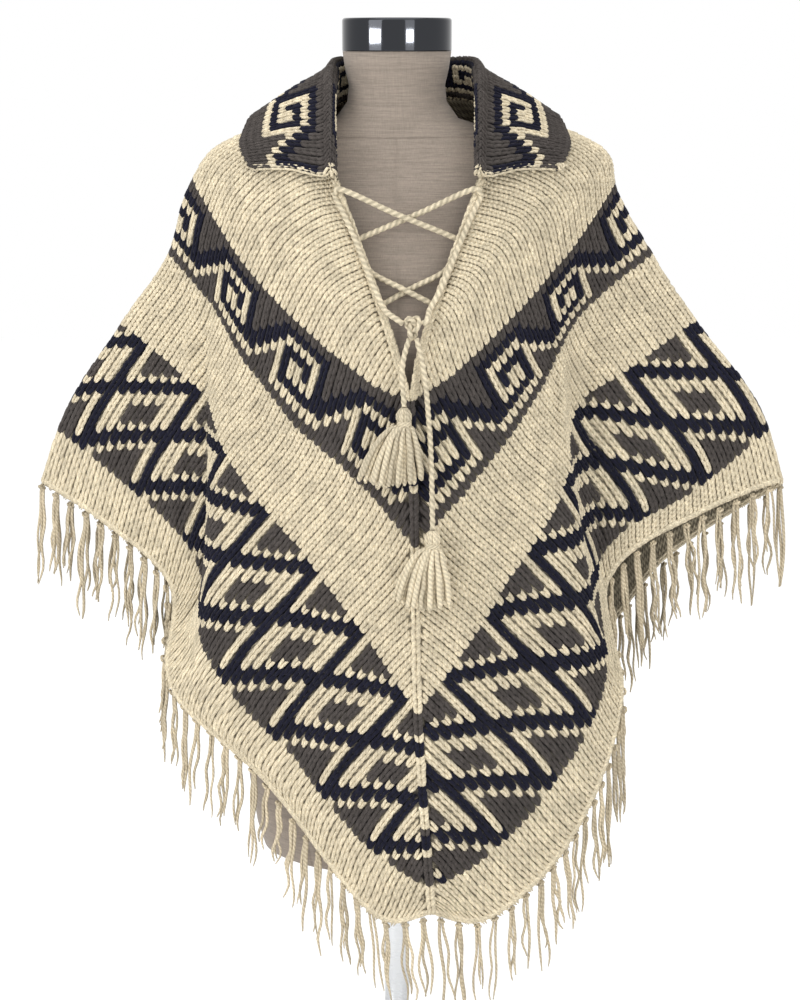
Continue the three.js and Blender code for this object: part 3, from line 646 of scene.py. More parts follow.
SLIT_LEVELS = np.arange(np.sum(row_downs("left")[:, 0] <= SLIT_DOWN))
SEAM_LEVELS = np.arange(SLIT_LEVELS[-1], 2 * ROWS + 1)
BACK_LEVELS = np.arange(0, 2 * ROWS + 1)
EDGING_SEED = 41
HEM_POINTS = 260
for half, (side, _) in HALVES.items():
    points, face = cloth_line(half, SLIT_LEVELS, 0, 0.6, inset=3.2)
    outer = chain_frames(points, face, width=0.95)
    points, face = cloth_line(half, SLIT_LEVELS, 0, -1.6, inset=-0.6)
    away = np.tile((-side, -0.45, 0), (len(points), 1))
    inner = chain_frames(points, away, width=0.8)
    arc = cloth[half]["arc"][-1]
    hem_arc = np.linspace(arc[0], arc[-1], HEM_POINTS)
    hem = on_cloth(half, -1, hem_arc)
    hem_face = unit(on_cloth(half, -1, hem_arc, "face"))
    fall = unit(hem - on_cloth(half, -2, hem_arc))
    low = chain_frames(hem - hem_face * 1.2 + fall * 0.6, unit(hem_face + 0.9 * fall), width=0.85)
    inside = chain_frames(hem - hem_face * 4.0 + fall * 0.4, unit(fall - 0.5 * hem_face), width=0.75)
    chains = [np.concatenate(group) for group in zip(outer, inner, low, inside)]
    stitches[half].append(add_stitches(f"{half}_edging", chains, EDGING_SEED))

# %% The spines where the halves meet
spines = []
for place, levels in ((0, SEAM_LEVELS), (LAST_PLACE, BACK_LEVELS)):
    left_line, left_face = cloth_line("left", levels, place, 0)
    right_line, right_face = cloth_line("right", levels, place, 0)
    line = (left_line + right_line) / 2
    face = unit(left_face + right_face)
    end_arc = cloth["left"]["arc"][levels, 0 if place == 0 else -1]
    letters = [letter_at("left", min(v // 2, ROWS - 1), int(a // WALE)) for v, a in zip(levels, end_arc)]
    spines.append(chain_frames(line + face * 0.5, face, width=1.05, letters=letters))
spine_frames = [np.concatenate(group) for group in zip(*spines)]
SPINE_SEED = 47
stitches["left"].append(add_stitches("spine_stitches", spine_frames, SPINE_SEED))

# %% [markdown]
# The collar is one strip. It stands up from the neck edge, folds over and falls outwards. Its sections
# follow the solid's: a smooth curve through the foot, the fold and the edge. The same wave chart runs
# along it, with the stitches' tips towards its outer edge.

# %% The collar's sections
COLLAR_MIDDLE_X = 8
COLLAR_PLACES = [0, 2, 4, 6, 8, 10, 12]
COLLAR_FOLD = [(71, 99, 995), (72, 80, 1024), (73, 50, 1060), (73, 12, 1086), (67, -30, 1093),
               (39, -60, 1092), (0, -71, 1090)]
COLLAR_EDGE = [(148, 58, 991), (157, 43, 1008), (157, 18, 1022), (147, -12, 1039), (122, -60, 1031),
               (76, -94, 1015), (0, -108, 1004)]
COLLAR_FOLD_HALF_WIDTH = 4.5
COLLAR_FOLD_DROP = 7
FOLD_AT = 0.4


def curve_through(points, at):
    points = np.asarray(points, float)
    first = 2 * points[0] - points[1]
    last = 2 * points[-1] - points[-2]
    padded = np.vstack([first, points, last])
    gaps = np.sqrt(np.linalg.norm(np.diff(padded, axis=0), axis=1))
    spot = np.clip(np.asarray(at, float), 0, 1) * (len(points) - 1)
    i = np.minimum(spot.astype(int), len(points) - 2)
    share = (spot - i)[:, None]
    p0, p1, p2, p3 = (padded[i + k] for k in range(4))
    g0, g1, g2 = (gaps[i + k][:, None] for k in range(3))
    start = ((p1 - p0) / g0 - (p2 - p0) / (g0 + g1) + (p2 - p1) / g1) * g1
    end = ((p2 - p1) / g1 - (p3 - p1) / (g1 + g2) + (p3 - p2) / g2) * g1
    return (
        p1 + start * share + (3 * (p2 - p1) - 2 * start - end) * share ** 2
        + (2 * (p1 - p2) + start + end) * share ** 3
    )


def cloth_point(half, down, place):
    return ring(half, down, np.array([float(place)]))[0]


def cloth_face(half, down, place):
    above = cloth_point(half, max(down - 2, 0), place)
    below = cloth_point(half, min(down + 2, DEPTH), place)
    before = cloth_point(half, down, max(place - 0.05, 0))
    after = cloth_point(half, down, min(place + 0.05, LAST_PLACE))
    on_seam = place == LAST_PLACE or (place == 0 and down >= SLIT_DOWN)
    if not on_seam:
        return unit(np.cross(after - before, below - above)) * -HALVES[half][0]
    face = np.cross((-1.0 if place == 0 else 1.0, 0, 0), below - above)
    face[0] = 0
    return unit(face)


def collar_section(half, place):
    side = HALVES[half][0]
    neck = cloth_point(half, 0, place)
    rise = unit(neck - cloth_point(half, 6, place))
    out, fore, up = through(COLLAR_PLACES, COLLAR_FOLD, place)[0]
    fold = np.array([COLLAR_MIDDLE_X + side * out, -fore, up])
    out, fore, up = through(COLLAR_PLACES, COLLAR_EDGE, place)[0]
    edge = np.array([COLLAR_MIDDLE_X + side * out, -fore, up])
    level = unit((edge - fold) * (1, 1, 0))
    drop = np.array([0, 0, -COLLAR_FOLD_DROP])
    in_fold = fold - level * COLLAR_FOLD_HALF_WIDTH + drop
    out_fold = fold + level * COLLAR_FOLD_HALF_WIDTH + drop
    neck = neck - cloth_face(half, 0, place) * CLOTH / 2
    turn = math.sqrt(max(0, 1 - float(np.dot(unit(in_fold - neck), rise)) ** 2))
    foot = neck + rise * (SEAM_GAP + turn * (CLOTH / 2 + 2.3))
    fall = (out_fold + edge) / 2 + (0, 0, 3)
    return np.array([foot, in_fold, fold, out_fold, fall, edge])


# %% The collar as a table of half rows
FALL_ROWS = 12
STAND_ROWS = 9
COLLAR_STEPS = np.linspace(0, 1, 101)


def collar_column(half, place):
    line = curve_through(collar_section(half, place), COLLAR_STEPS)
    length = np.concatenate([[0], np.cumsum(np.linalg.norm(np.diff(line, axis=0), axis=1))])
    at_fold = np.interp(FOLD_AT, COLLAR_STEPS, length)
    levels = np.concatenate([
        np.linspace(0, at_fold, 2 * STAND_ROWS + 1)[:-1],
        np.linspace(at_fold, length[-1], 2 * FALL_ROWS + 1),
    ])
    return np.stack([np.interp(levels, length, line[:, axis]) for axis in range(3)], axis=-1)


left_places = np.linspace(0, 12, 61)
right_places = left_places[-2::-1]
columns = [collar_column("left", p) for p in left_places]
columns += [collar_column("right", p) for p in right_places]
collar_points = np.stack(columns, axis=1)
collar_face = unit(np.cross(np.gradient(collar_points, axis=1), np.gradient(collar_points, axis=0)))
fold_line = collar_points[2 * STAND_ROWS]
fold_length = np.concatenate([[0], np.cumsum(np.linalg.norm(np.diff(fold_line, axis=0), axis=1))])
print("collar:", round(fold_length[-1]), "mm along its fold")

# %% The collar's ground
COLLAR_GROUND_LIFT = 0.1


def collar_ground():
    levels, count = collar_points.shape[:2]
    grid, share, level = flat_grid(count - 1, levels - 1)
    column = np.rint(share * (count - 1)).astype(int)
    faces = collar_face[level, column]
    wale = fold_length[column] / WALE
    letters = [collar_letter(v // 2, int(w)) for v, w in zip(level, wale)]
    yarn_map = np.stack([wale, level / 2], axis=1)
    places = collar_points[level, column] + faces * COLLAR_GROUND_LIFT
    piece = ground_piece("collar_ground", grid, places, faces, yarn_map, letters)
    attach(piece, "root")
    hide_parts("collar")
    return piece


COLLAR_WALES = round(fold_length[-1] / WALE)
STAND_START = 7
FALL_START = 6


def collar_letter(row, wale):
    row -= STAND_ROWS
    wale = min(wale, COLLAR_WALES - 1 - wale)
    if row < 0:
        return WAVE_CHART[-row - 1][(wale + STAND_START) % len(WAVE_CHART[0])]
    if row < 2:
        return "G"
    return WAVE_CHART[min(row, len(WAVE_CHART)) - 1][(wale + FALL_START) % len(WAVE_CHART[0])]


ground["collar"] = collar_ground()

# %% The collar's stitches
STITCH_LIFT = 2.5


def collar_at(level, column, what):
    low = int(column)
    share = column - low
    high = min(low + 1, what.shape[1] - 1)
    return what[level, low] * (1 - share) + what[level, high] * share


found = []
for wale in range(COLLAR_WALES):
    along_fold = (wale + 0.5) * fold_length[-1] / COLLAR_WALES
    column = np.interp(along_fold, fold_length, np.arange(len(fold_length)))
    for row in range(STAND_ROWS + FALL_ROWS):
        level = 2 * row + 1
        centre = collar_at(level, column, collar_points)
        face = unit(collar_at(level, column, collar_face))
        row_way = collar_at(level + 1, column, collar_points) - collar_at(level - 1, column, collar_points)
        before = collar_at(level, max(column - 0.5, 0), collar_points)
        after = collar_at(level, min(column + 0.5, len(fold_length) - 1), collar_points)
        pace = np.linalg.norm(after - before)
        reach = np.linalg.norm(fold_line[int(column) + 1] - fold_line[int(column)])
        width = WALE * min(1.45, max(0.8, pace / reach))
        colour = np.array(WOOL[collar_letter(row, wale)])
        found.append((centre + face * STITCH_LIFT, unit(after - before) * width, row_way, face, colour))
collar_frames = [np.array([stitch[i] for stitch in found]) for i in range(5)]
edge_line = collar_points[-1]
edge_face = collar_face[-1]
edge_fall = unit(collar_points[-1] - collar_points[-2])
rim = chain_frames(edge_line + edge_fall * 0.4, unit(edge_face * 0.6 + edge_fall), width=0.8, letters="G")
ends = []
for column, way in ((0, -1), (-1, 1)):
    line = collar_points[:, column]
    beyond = unit(collar_points[:, column] - collar_points[:, 1 if column == 0 else -2])
    ends.append(chain_frames(line + beyond * 0.4, unit(beyond + 0.6 * collar_face[:, column]), width=0.8))
collar_frames = [np.concatenate(group) for group in zip(collar_frames, rim, *ends)]
COLLAR_SEED = 53
stitches["collar"] = [add_stitches("collar_stitches", collar_frames, COLLAR_SEED)]

# %% [markdown]
# The lace and its free ends are one soft cord of two strands twisted together, so its outline is round
# with two grooves that wind round it. We twist the yarn body as we bend it: the radius dips where the two
# strands touch, and the dip turns with the length.

# %% Bend a rope along a route
ROPE_SIDES = 12
ROPE_STEP = 1.4
ROPE_LAY = 13.4
ROPE_GROOVE = 0.3


def even_route(points, step, bends=400):
    line = curve_through(points, np.linspace(0, 1, bends))
    length = np.concatenate([[0], np.cumsum(np.linalg.norm(np.diff(line, axis=0), axis=1))])
    count = max(4, int(round(length[-1] / step)) + 1)
    at = np.linspace(0, length[-1], count)
    return np.stack([np.interp(at, length, line[:, axis]) for axis in range(3)], axis=-1)


def with_ends(values):
    return np.concatenate([values[:, :1], values, values[:, -1:]], axis=1)


def rope(name, route, radius, lay=ROPE_LAY, groove=ROPE_GROOVE, sides=ROPE_SIDES, ends=(0.8, 0.8)):
    route = np.asarray(route, float)
    way = unit(np.gradient(route, axis=0))
    across = np.empty_like(route)
    start = np.array([1.0, 0, 0]) if abs(way[0][0]) < 0.8 else np.array([0, 0, 1.0])
    across[0] = unit(start - way[0] * np.dot(start, way[0]))
    for i in range(1, len(route)):
        across[i] = unit(across[i - 1] - way[i] * np.dot(across[i - 1], way[i]))
    lift = np.cross(way, across)
    thick = np.full(len(route), float(radius))
    thick[0] *= ends[0]
    thick[-1] *= ends[1]
    length = np.concatenate([[0], np.cumsum(np.linalg.norm(np.diff(route, axis=0), axis=1))])
    girth = with_ends(thick[None])
    girth[:, [0, -1]] = 0
    girth = girth[:, :, None] * MM
    colour = np.array([WOOL["C"]])
    return joined_yarns(
        name, yarn_pattern(sides, len(route)), with_ends(route[None]) * MM, with_ends(across[None]) * girth,
        with_ends(lift[None]) * girth, colour, along=with_ends(length[None]) * MM, lobes=(groove, lay * MM))


# %% The two free ends hang from the knot, each down to its tassel
CORD_RADIUS = 2.75
KNOT_CENTRE = np.array([15.0, -134, 846])
SHORT_END = [(12, -135, 836.2), (9, -138, 828), (6, -143, 816), (5, -147, 800), (6, -150, 786),
             (7, -151.5, 773.5)]
LONG_END = [(18.5, -135.5, 836.4), (21, -138.5, 827), (24.5, -142, 812), (27.5, -144.5, 790),
            (30, -147, 762), (32, -151, 732), (33, -155, 704), (33.5, -159, 678), (34, -161.5, 657.5)]
free_ends = {}
for name, points in (("short_end", SHORT_END), ("long_end", LONG_END)):
    route = even_route(points, ROPE_STEP)
    piece = rope(f"{name}_cord", route, CORD_RADIUS, ends=(0.9, 0.95))
    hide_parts(name)
    length = float(np.sum(np.linalg.norm(np.diff(route, axis=0), axis=1)))
    free_ends[name] = (piece, route, length)
    print(name, "is", round(length, 1), "mm long")

# %% [markdown]
# The lace itself is held all the way: it goes under the slit's edge, crosses to the other side and runs
# down beside the slit to the knot. Its points are given beside the slit's edge, so they follow the cloth.

# %% The laced strands
ON_CLOTH = CORD_RADIUS + 1.7
BEHIND = -CLOTH - CORD_RADIUS - 1.6
# Each point: own half (0) or the other (1), down, inset from the edge, lift from the cloth's face.
LACE_RUN = [(0, 92, 1, 7.5), (0, 84, 6.5, 5.8), (0, 72, 9, ON_CLOTH), (0, 50, 9, ON_CLOTH),
            (0, 28, 9, ON_CLOTH), (0, 13, 7, ON_CLOTH), (0, 6, -4, 4), (0, 1, -10, 1)]
LACE_CROSSINGS = [(1, 36, -5, -9), (1, 42, 4, BEHIND), (1, 48, 5, BEHIND), (1, 53, 2, BEHIND),
                  (1, 57, -6, -9), (0, 82, -5, -9), (0, 88, 3, BEHIND)]
CROSSING_LIFT = 3.6
KNOT_REACH = 9.1
LACE_RADIUS = 3.0
LACE_BENDS = 900


def beside_slit(half, down, inset, lift):
    edge = cloth_point(half, down, 0)
    place = max(inset, 0) / np.linalg.norm(edge - cloth_point(half, down, 1))
    into_slit = unit(edge - cloth_point(half, down, 0.2))
    spot = cloth_point(half, down, place) + into_slit * max(-inset, 0)
    return spot + cloth_face(half, down, max(place, 0.1)) * lift


def lace_route(half, crossing):
    side = HALVES[half][0]
    pair = (half, "right" if half == "left" else "left")
    run = [beside_slit(pair[row[0]], *row[1:]) for row in LACE_RUN]
    cross = [beside_slit(pair[row[0]], *row[1:]) for row in LACE_CROSSINGS]
    upper = (run[-1] + cross[0]) / 2 + (0, -crossing, 0)
    lower = (cross[4] + cross[5]) / 2 + (0, crossing, 0)
    start = KNOT_CENTRE + (side * KNOT_REACH, 0, 4)
    return [start, start + (side * 4, 0, 3), *run, upper, *cross[:5], lower, *cross[5:]]


laces = []
for half, crossing in (("left", CROSSING_LIFT), ("right", -CROSSING_LIFT)):
    route = even_route(lace_route(half, crossing), ROPE_STEP, LACE_BENDS)
    piece = rope(f"lace_cord_{half}", route, LACE_RADIUS)
    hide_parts(f"lace_{half}")
    laces.append(piece)

# %% The knot is the same cord, drawn up in a three-fold loop
LOOP_MIDDLE = 0.47
KNOT_REACHES = np.array([2.2, 2.8, 3.7])
turn = np.linspace(0, 2 * math.pi, 90)
loop = np.stack([
    np.sin(turn) + 2 * np.sin(2 * turn), -np.sin(3 * turn),
    LOOP_MIDDLE + np.cos(turn) - 2 * np.cos(2 * turn)], axis=1)
knot = rope("knot_cord", KNOT_CENTRE + loop * KNOT_REACHES, 2.6, ends=(1, 1))
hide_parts("lace_knot")

# %% [markdown]
# A tassel is a bundle of yarns, folded over the cord's end and tied below the fold. Each yarn bulges over
# the head, draws in under the tie and spreads in the skirt, where the outer yarns end higher, like a dome.
# Yarns are bent from one body with few sides.

# %% A bundle of hanging yarns
YARN_LAY = 9.0
YARN_GROOVE = 0.2
YARN_SHADE = 0.09


def hanging_yarns(name, lines, radii, seed, tone=(1.0, 1.0, 1.0), sides=7):
    dice = np.random.default_rng(seed)
    lines = np.asarray(lines, float)
    count, knots = lines.shape[:2]
    way = unit(np.gradient(lines, axis=1))
    spin = dice.uniform(0, 2 * math.pi, count)
    east = np.stack([np.cos(spin), np.sin(spin), np.zeros(count)], axis=1)[:, None, :]
    across = unit(east - way * np.sum(east * way, axis=2, keepdims=True))
    lift = np.cross(way, across)
    steps = np.linalg.norm(np.diff(lines, axis=1), axis=2)
    length = np.concatenate([np.zeros((count, 1)), np.cumsum(steps, axis=1)], axis=1)
    girth = with_ends(radii)
    girth[:, [0, -1]] = 0
    girth = girth[:, :, None] * MM
    uneven = 1 + YARN_SHADE * dice.standard_normal((count, 1))
    colour = np.array(WOOL["C"]) * np.array(tone) * uneven
    return joined_yarns(
        name, yarn_pattern(sides, knots), with_ends(lines) * MM, with_ends(across) * girth,
        with_ends(lift) * girth, np.clip(colour, 0, 1), along=with_ends(length) * MM,
        lobes=(YARN_GROOVE, YARN_LAY * MM))


def scatter(seed):
    wave = np.sin(np.asarray(seed, float) * 127.1 + 311.7) * 43758.5453
    return wave - np.floor(wave)


TASSEL_YARNS = 32
TASSEL_TURN = 0.381966
SKIRT_TOP = 17
NECK_REACH = 5.4
TIE_TURNS = 5
TASSELS = {
    "short": ((7, -152, 772.7), (-12, -5), (30, 9), 500),
    "long": ((34, -162, 656.8), (-9, -6), (26, 9), 600),
}
SKIRT = 58
TASSEL_DOME = 9


def tassel(name, neck, lean, spread, seed):
    neck = np.array(neck, float)
    dice = np.random.default_rng(seed)
    number = np.arange(TASSEL_YARNS)
    angle = 2 * math.pi * (number * TASSEL_TURN)
    inner = np.sqrt((number + 0.5) / TASSEL_YARNS)
    away = np.stack([np.cos(angle), np.sin(angle)], axis=1) * inner[:, None]
    falls = np.array([0.0, 2.5, 6.5, 10.5, 13.5, 17.0, 21.0, 30.0, 42.0, 56.0, 69.0, 78.0, 81.0])
    bulge = np.array([2.2, 4.4, 6.6, 6.6, 4.7, 5.4, 0, 0, 0, 0, 0, 0, 0])
    reach = SKIRT * (0.9 + 0.1 * scatter(seed + number % 16)) + dice.uniform(-2, 1, TASSEL_YARNS)
    reach -= TASSEL_DOME * away[:, 0] ** 2
    lines = np.empty((TASSEL_YARNS, len(falls), 3))
    for i, (fall, out) in enumerate(zip(falls, bulge)):
        if out:
            lines[:, i, :2] = neck[:2] + away * (out, out * 0.9)
            lines[:, i, 2] = neck[2] - fall
            continue
        share = (fall - SKIRT_TOP) / (falls[-1] - SKIRT_TOP)
        ease = share ** 0.5
        foot = np.array(lean) + np.array(spread) * away * (1.12, 1.0)
        wander = dice.normal(0, 0.5, (TASSEL_YARNS, 2))
        lines[:, i, :2] = neck[:2] + away * NECK_REACH * (1 - ease) + foot * ease + wander
        lines[:, i, 2] = neck[2] - SKIRT_TOP - (reach + 2) * share
    girths = [1.1, 1.4, 1.8, 1.8, 1.5, 1.8, 2.1, 2.5, 2.8, 2.9, 2.9, 2.6, 1.4]
    radii = np.array(girths) * dice.uniform(0.88, 1.08, (TASSEL_YARNS, 1))
    skirt = hanging_yarns(f"{name}_tassel_yarns", lines, radii, seed)
    turns = np.linspace(0, 2 * math.pi * TIE_TURNS, 130)
    tie = neck + np.stack([6.3 * np.cos(turns), 5.9 * np.sin(turns), -12.2 - turns * 0.13], axis=1)
    binding = rope(f"{name}_tassel_tie", tie, 0.75, lay=3, groove=0.15, sides=8)
    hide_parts(f"{name}_tassel")
    return [skirt, binding]


tassels = {name: tassel(name, *facts) for name, facts in TASSELS.items()}

# %% [markdown]
# The fringe is knotted into the hem, two or three yarns to a knot, and hangs down in loose waves. The
# roots, the leans and the lengths are the solid's own, so each strand of the solid becomes a few yarns
# here. Some pairs end in a loop, and neighbours lean together in clumps.

# %% The fringe
FRINGE_STRIP = 6
FRINGE_PITCH = 19
ROOT_SHARE = 0.9
SHORT_STRAND = 76
LONG_STRAND = 110
PLACE_STEPS = [2, 3, 3, 3, 4, 3, 2, 3, 3, 2, 2, 2]
FRINGE_SEEDS = {"left": 100, "right": 300}
FRINGE_TONE = (0.84, 0.82, 0.8)
YARN_KNOTS = 13
LOOPED_SHARE = 0.2
THIRD_YARN_SHARE = 0.55
CLUMP_LEAN = 9
KNOT_POINTS = 9
TIE_RADIUS = 1.5


def hem_point(half, place, below):
    hem = cloth_point(half, DEPTH, place)
    fall = unit(hem - cloth_point(half, DEPTH - 4, place))
    return hem - cloth_face(half, DEPTH, place) * CLOTH / 2 + fall * below


def strand_roots(half):
    places = [i + k / count for i, count in enumerate(PLACE_STEPS) for k in range(count)] + [LAST_PLACE]
    hem = [hem_point(half, place, 0) for place in places]
    low = [hem_point(half, place, SEAM_GAP + FRINGE_STRIP * ROOT_SHARE) for place in places]
    found = []
    following = FRINGE_PITCH / 2
    for j in range(len(hem) - 1):
        span = np.linalg.norm(hem[j + 1] - hem[j])
        while following < span:
            share = following / span
            number = FRINGE_SEEDS[half] + len(found) + 1
            root = low[j] + (low[j + 1] - low[j]) * share
            top = hem[j] + (hem[j + 1] - hem[j]) * share
            away = unit((root - top) * (1, 1, 0))
            found.append((number, top, root, away, unit(hem[j + 1] - hem[j])))
            following += FRINGE_PITCH
        following -= span
    return found


def fringe(half):
    lines = []
    radii = []
    knots = []
    dice = np.random.default_rng(FRINGE_SEEDS[half])
    for number, top, root, away, along in strand_roots(half):
        drop = SHORT_STRAND + (LONG_STRAND - SHORT_STRAND) * scatter(number)
        foot = root + away * (2 + 5 * scatter(number + 0.5)) - (0, 0, drop)
        knots.append((top, root, away, along))
        looped = scatter(number + 0.8) < LOOPED_SHARE
        clump = along * CLUMP_LEAN * (scatter(number // 2 + 0.3) - 0.5)
        hands = (-1, 1, 0.2) if scatter(number + 0.15) < THIRD_YARN_SHARE else (-1, 1)
        for hand in hands:
            share = np.linspace(0, 1, YARN_KNOTS)[:, None]
            spread = 1.5 + 3.4 * np.sin(share * math.pi * (1 if looped else 0.6)) * dice.uniform(0.1, 1.2)
            curl = dice.uniform(0.7, 2.4) * np.sqrt(share)
            phase = dice.uniform(0, 2 * math.pi)
            turns = share * 2 * math.pi * dice.uniform(0.9, 2.3)
            wave = along * curl * np.sin(turns + phase) + away * curl * np.cos(turns + phase)
            own = 1 if looped else dice.uniform(0.72, 1.0)
            begin = top * 0.35 + root * 0.65
            line = begin + (foot + clump - begin) * share * (1, 1, own) + along * hand * spread + wave
            lines.append(line)
            girth = np.interp(share[:, 0], [0, 0.06, 0.5, 0.85, 1], [1.4, 1.75, 1.7, 1.4, 0.6])
            radii.append(girth * dice.uniform(0.8, 1.2))
    piece = hanging_yarns(
        f"{half}_fringe_yarns", np.array(lines), np.array(radii), FRINGE_SEEDS[half],
        tone=FRINGE_TONE, sides=5)
    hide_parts(f"fringe_{half}")
    loops = []
    for top, root, away, along in knots:
        turns = np.linspace(0, 2 * math.pi, KNOT_POINTS)[:, None]
        fall = unit(root - top)
        wrap = along * 3.0 * np.cos(turns) + np.cross(along, fall) * 3.2 * np.sin(turns)
        loops.append(root + fall * 1.2 + wrap)
    tie_radii = np.full((len(loops), KNOT_POINTS), TIE_RADIUS)
    ties = hanging_yarns(
        f"{half}_fringe_knots", np.array(loops), tie_radii, 5 + FRINGE_SEEDS[half],
        tone=FRINGE_TONE, sides=5)
    return [piece, ties]


fringes = {half: fringe(half) for half in HALVES}

# %% [markdown]
# The small knot on the collar's right corner is the tied end of its yarn.

# %% Collar knot
CORNER_KNOT_REACH = np.array([1.1, 0.9, 1.1])
corner = collar_points[-1, -1] + collar_face[-1, -1] * 3
corner_knot = rope("collar_corner_knot", corner + loop * CORNER_KNOT_REACH, 1.4, lay=6, sides=8, ends=(1, 1))

# %% [markdown]
# The dress form is a padded shell covered in grey-beige linen, cut in panels. It is one body of level
# rings, closer together where a seam runs, so the seams can be drawn in. The tables are the solid's.

# %% The dress form
FORM_UP = [280, 284, 300, 330, 380, 480, 590, 700, 790, 880, 930, 965, 990, 1010, 1023, 1033, 1042, 1100.7]
FORM_SIDE = [118, 132, 143, 150, 156, 140, 118, 134, 148, 160, 170, 174, 166, 139, 102, 66, 56, 53.4]
FORM_FRONT = [84, 94, 103, 108, 110, 102, 92, 102, 110, 92, 79, 68, 60, 55, 53.8, 54, 53.6, 53.4]
FORM_BACK = [78, 90, 100, 106, 108, 94, 74, 78, 86, 90, 86, 78, 70, 64, 60, 56, 54.5, 53.4]
FORM_FIT = 0.996
NECK_SEAM = 1019
WAIST_SEAM = 590
PANEL_SEAMS = [0, 52, 90, 128, 180, 232, 270, 308]
SEAM_DEPTH = 1.1


def dress_form():
    levels = sorted(set(
        list(np.linspace(280, 1100.7, 52)) + [282, 284, 288]
        + [seam + step for seam in (NECK_SEAM, WAIST_SEAM) for step in (-1.4, 0, 1.4)]))
    angles = []
    for seam, following in zip(PANEL_SEAMS, PANEL_SEAMS[1:] + [360]):
        angles += [seam, seam + 0.5]
        angles += list(np.linspace(seam, following, 14)[1:-1])
        angles += [following - 0.5]
    angles = np.radians(sorted(set(angles)))
    pattern = yarn_pattern(len(angles), len(levels))
    station = pattern["station"]
    order = np.rint(pattern["angle"] / (2 * math.pi) * len(angles)).astype(int) % len(angles)
    angle = angles[order]
    up = np.array([levels[0]] + levels + [levels[-1]])[station]
    tables = (FORM_SIDE, FORM_FRONT, FORM_BACK)
    side, front, back = (through(FORM_UP, table, up)[:, 0] * FORM_FIT for table in tables)
    on_seam = np.isin(np.round(np.degrees(angle), 3), PANEL_SEAMS) & (up < NECK_SEAM)
    on_seam |= np.isin(up, [NECK_SEAM, WAIST_SEAM])
    middle = (station == 0) | (station == pattern["stations"] - 1)
    share = np.where(middle, 0, 1)
    across = (side - SEAM_DEPTH * on_seam) * share
    deep = (np.where(np.sin(angle) < 0, front, back) - SEAM_DEPTH * on_seam) * share
    points = np.stack([across * np.cos(angle), deep * np.sin(angle), up], axis=1) * MM
    piece = joined_yarns(
        "form_cover", pattern, np.zeros((1, pattern["stations"], 3)), np.zeros((1, pattern["stations"], 3)),
        np.zeros((1, pattern["stations"], 3)))
    piece.data.vertices.foreach_set("co", points.astype(np.float32).ravel())
    piece.data.update()
    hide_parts("torso")
    return piece


form = dress_form()

# %% [markdown]
# The cap on the neck, the post and the base are turned metal. An outline spun once round the middle makes
# each of them, with its edges rounded as a lathe leaves them.

# %% Spin an outline
SPIN_STEPS = 96
SMOOTH_ANGLE = 35


def turned(name, outline, node_name):
    shape = bmesh.new()
    verts = [shape.verts.new((r * MM, 0, up * MM)) for r, up in outline]
    edges = [shape.edges.new(pair) for pair in zip(verts, verts[1:])]
    bmesh.ops.spin(
        shape, geom=verts + edges, cent=(0, 0, 0), axis=(0, 0, 1), angle=2 * math.pi, steps=SPIN_STEPS,
        use_merge=True)
    bmesh.ops.remove_doubles(shape, verts=shape.verts, dist=1e-6)
    bmesh.ops.recalc_face_normals(shape, faces=shape.faces)
    mesh = bpy.data.meshes.new(name)
    shape.to_mesh(mesh)
    shape.free()
    mesh.shade_smooth()
    mesh.set_sharp_from_angle(angle=math.radians(SMOOTH_ANGLE))
    piece = bpy.data.objects.new(name, mesh)
    bpy.context.collection.objects.link(piece)
    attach(piece, "root")
    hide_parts(node_name)
    print(name, "-", len(mesh.polygons), "faces")
    return piece


def rounded(r, up, size, turn_from, steps=5):
    angles = [math.radians(turn_from + 90 * k / steps) for k in range(steps + 1)]
    return [(r + size * math.cos(a), up + size * math.sin(a)) for a in angles]


CAP_RADIUS = 53.6
cap_outline = [
    (0, 1101), *rounded(CAP_RADIUS - 1, 1102, 1, -90), *rounded(CAP_RADIUS - 3, 1129.6, 3, 0),
    (26, 1133), (0, 1133)]
post_outline = [(0, 30.3), *rounded(12.5, 30.8, 0.5, -90, 3), *rounded(12.5, 279.2, 0.5, 0, 3), (0, 279.7)]
base_outline = [
    (0, 0), *rounded(149, 1, 1, -90, 3), *rounded(146, 8, 4, 0), (26, 12), (23, 12.7), (22, 15),
    *rounded(20, 28, 2, 0, 4), (0, 30)]
cap = turned("cap_shell", cap_outline, "neck_cap")
post = turned("post_tube", post_outline, "post")
base = turned("base_plate", base_outline, "base")

# %% [markdown]

# %% [markdown]
# Wool yarn is matt, with a soft sheen at grazing angles from its loose fibres. Its colour comes from the
# chart and is a little uneven. It is darker in the grooves between the plies and a little lighter on their
# crests: painted shade and a faint painted highlight. The plies and the fibres also lift the surface a
# little. The yarn's own map has its length along U and the way round it along V, so the plies wind round
# the yarn wherever it goes.

# %% Helpers for materials
def new_material(name):
    material = bpy.data.materials.new(name)
    material.use_nodes = True
    return material, material.node_tree.nodes, material.node_tree.links


def math_node(nodes, links, operation, first, second=None):
    node = nodes.new("ShaderNodeMath")
    node.operation = operation
    for socket, value in zip(node.inputs, (first, second)):
        if value is None:
            continue
        if isinstance(value, (int, float)):
            socket.default_value = value
        else:
            links.new(value, socket)
    return node.outputs[0]


def noise_node(nodes, links, vector, scale, detail=2.0, roughness=0.55):
    node = nodes.new("ShaderNodeTexNoise")
    node.inputs["Scale"].default_value = scale
    node.inputs["Detail"].default_value = detail
    node.inputs["Roughness"].default_value = roughness
    links.new(vector, node.inputs["Vector"])
    return node.outputs["Fac"]


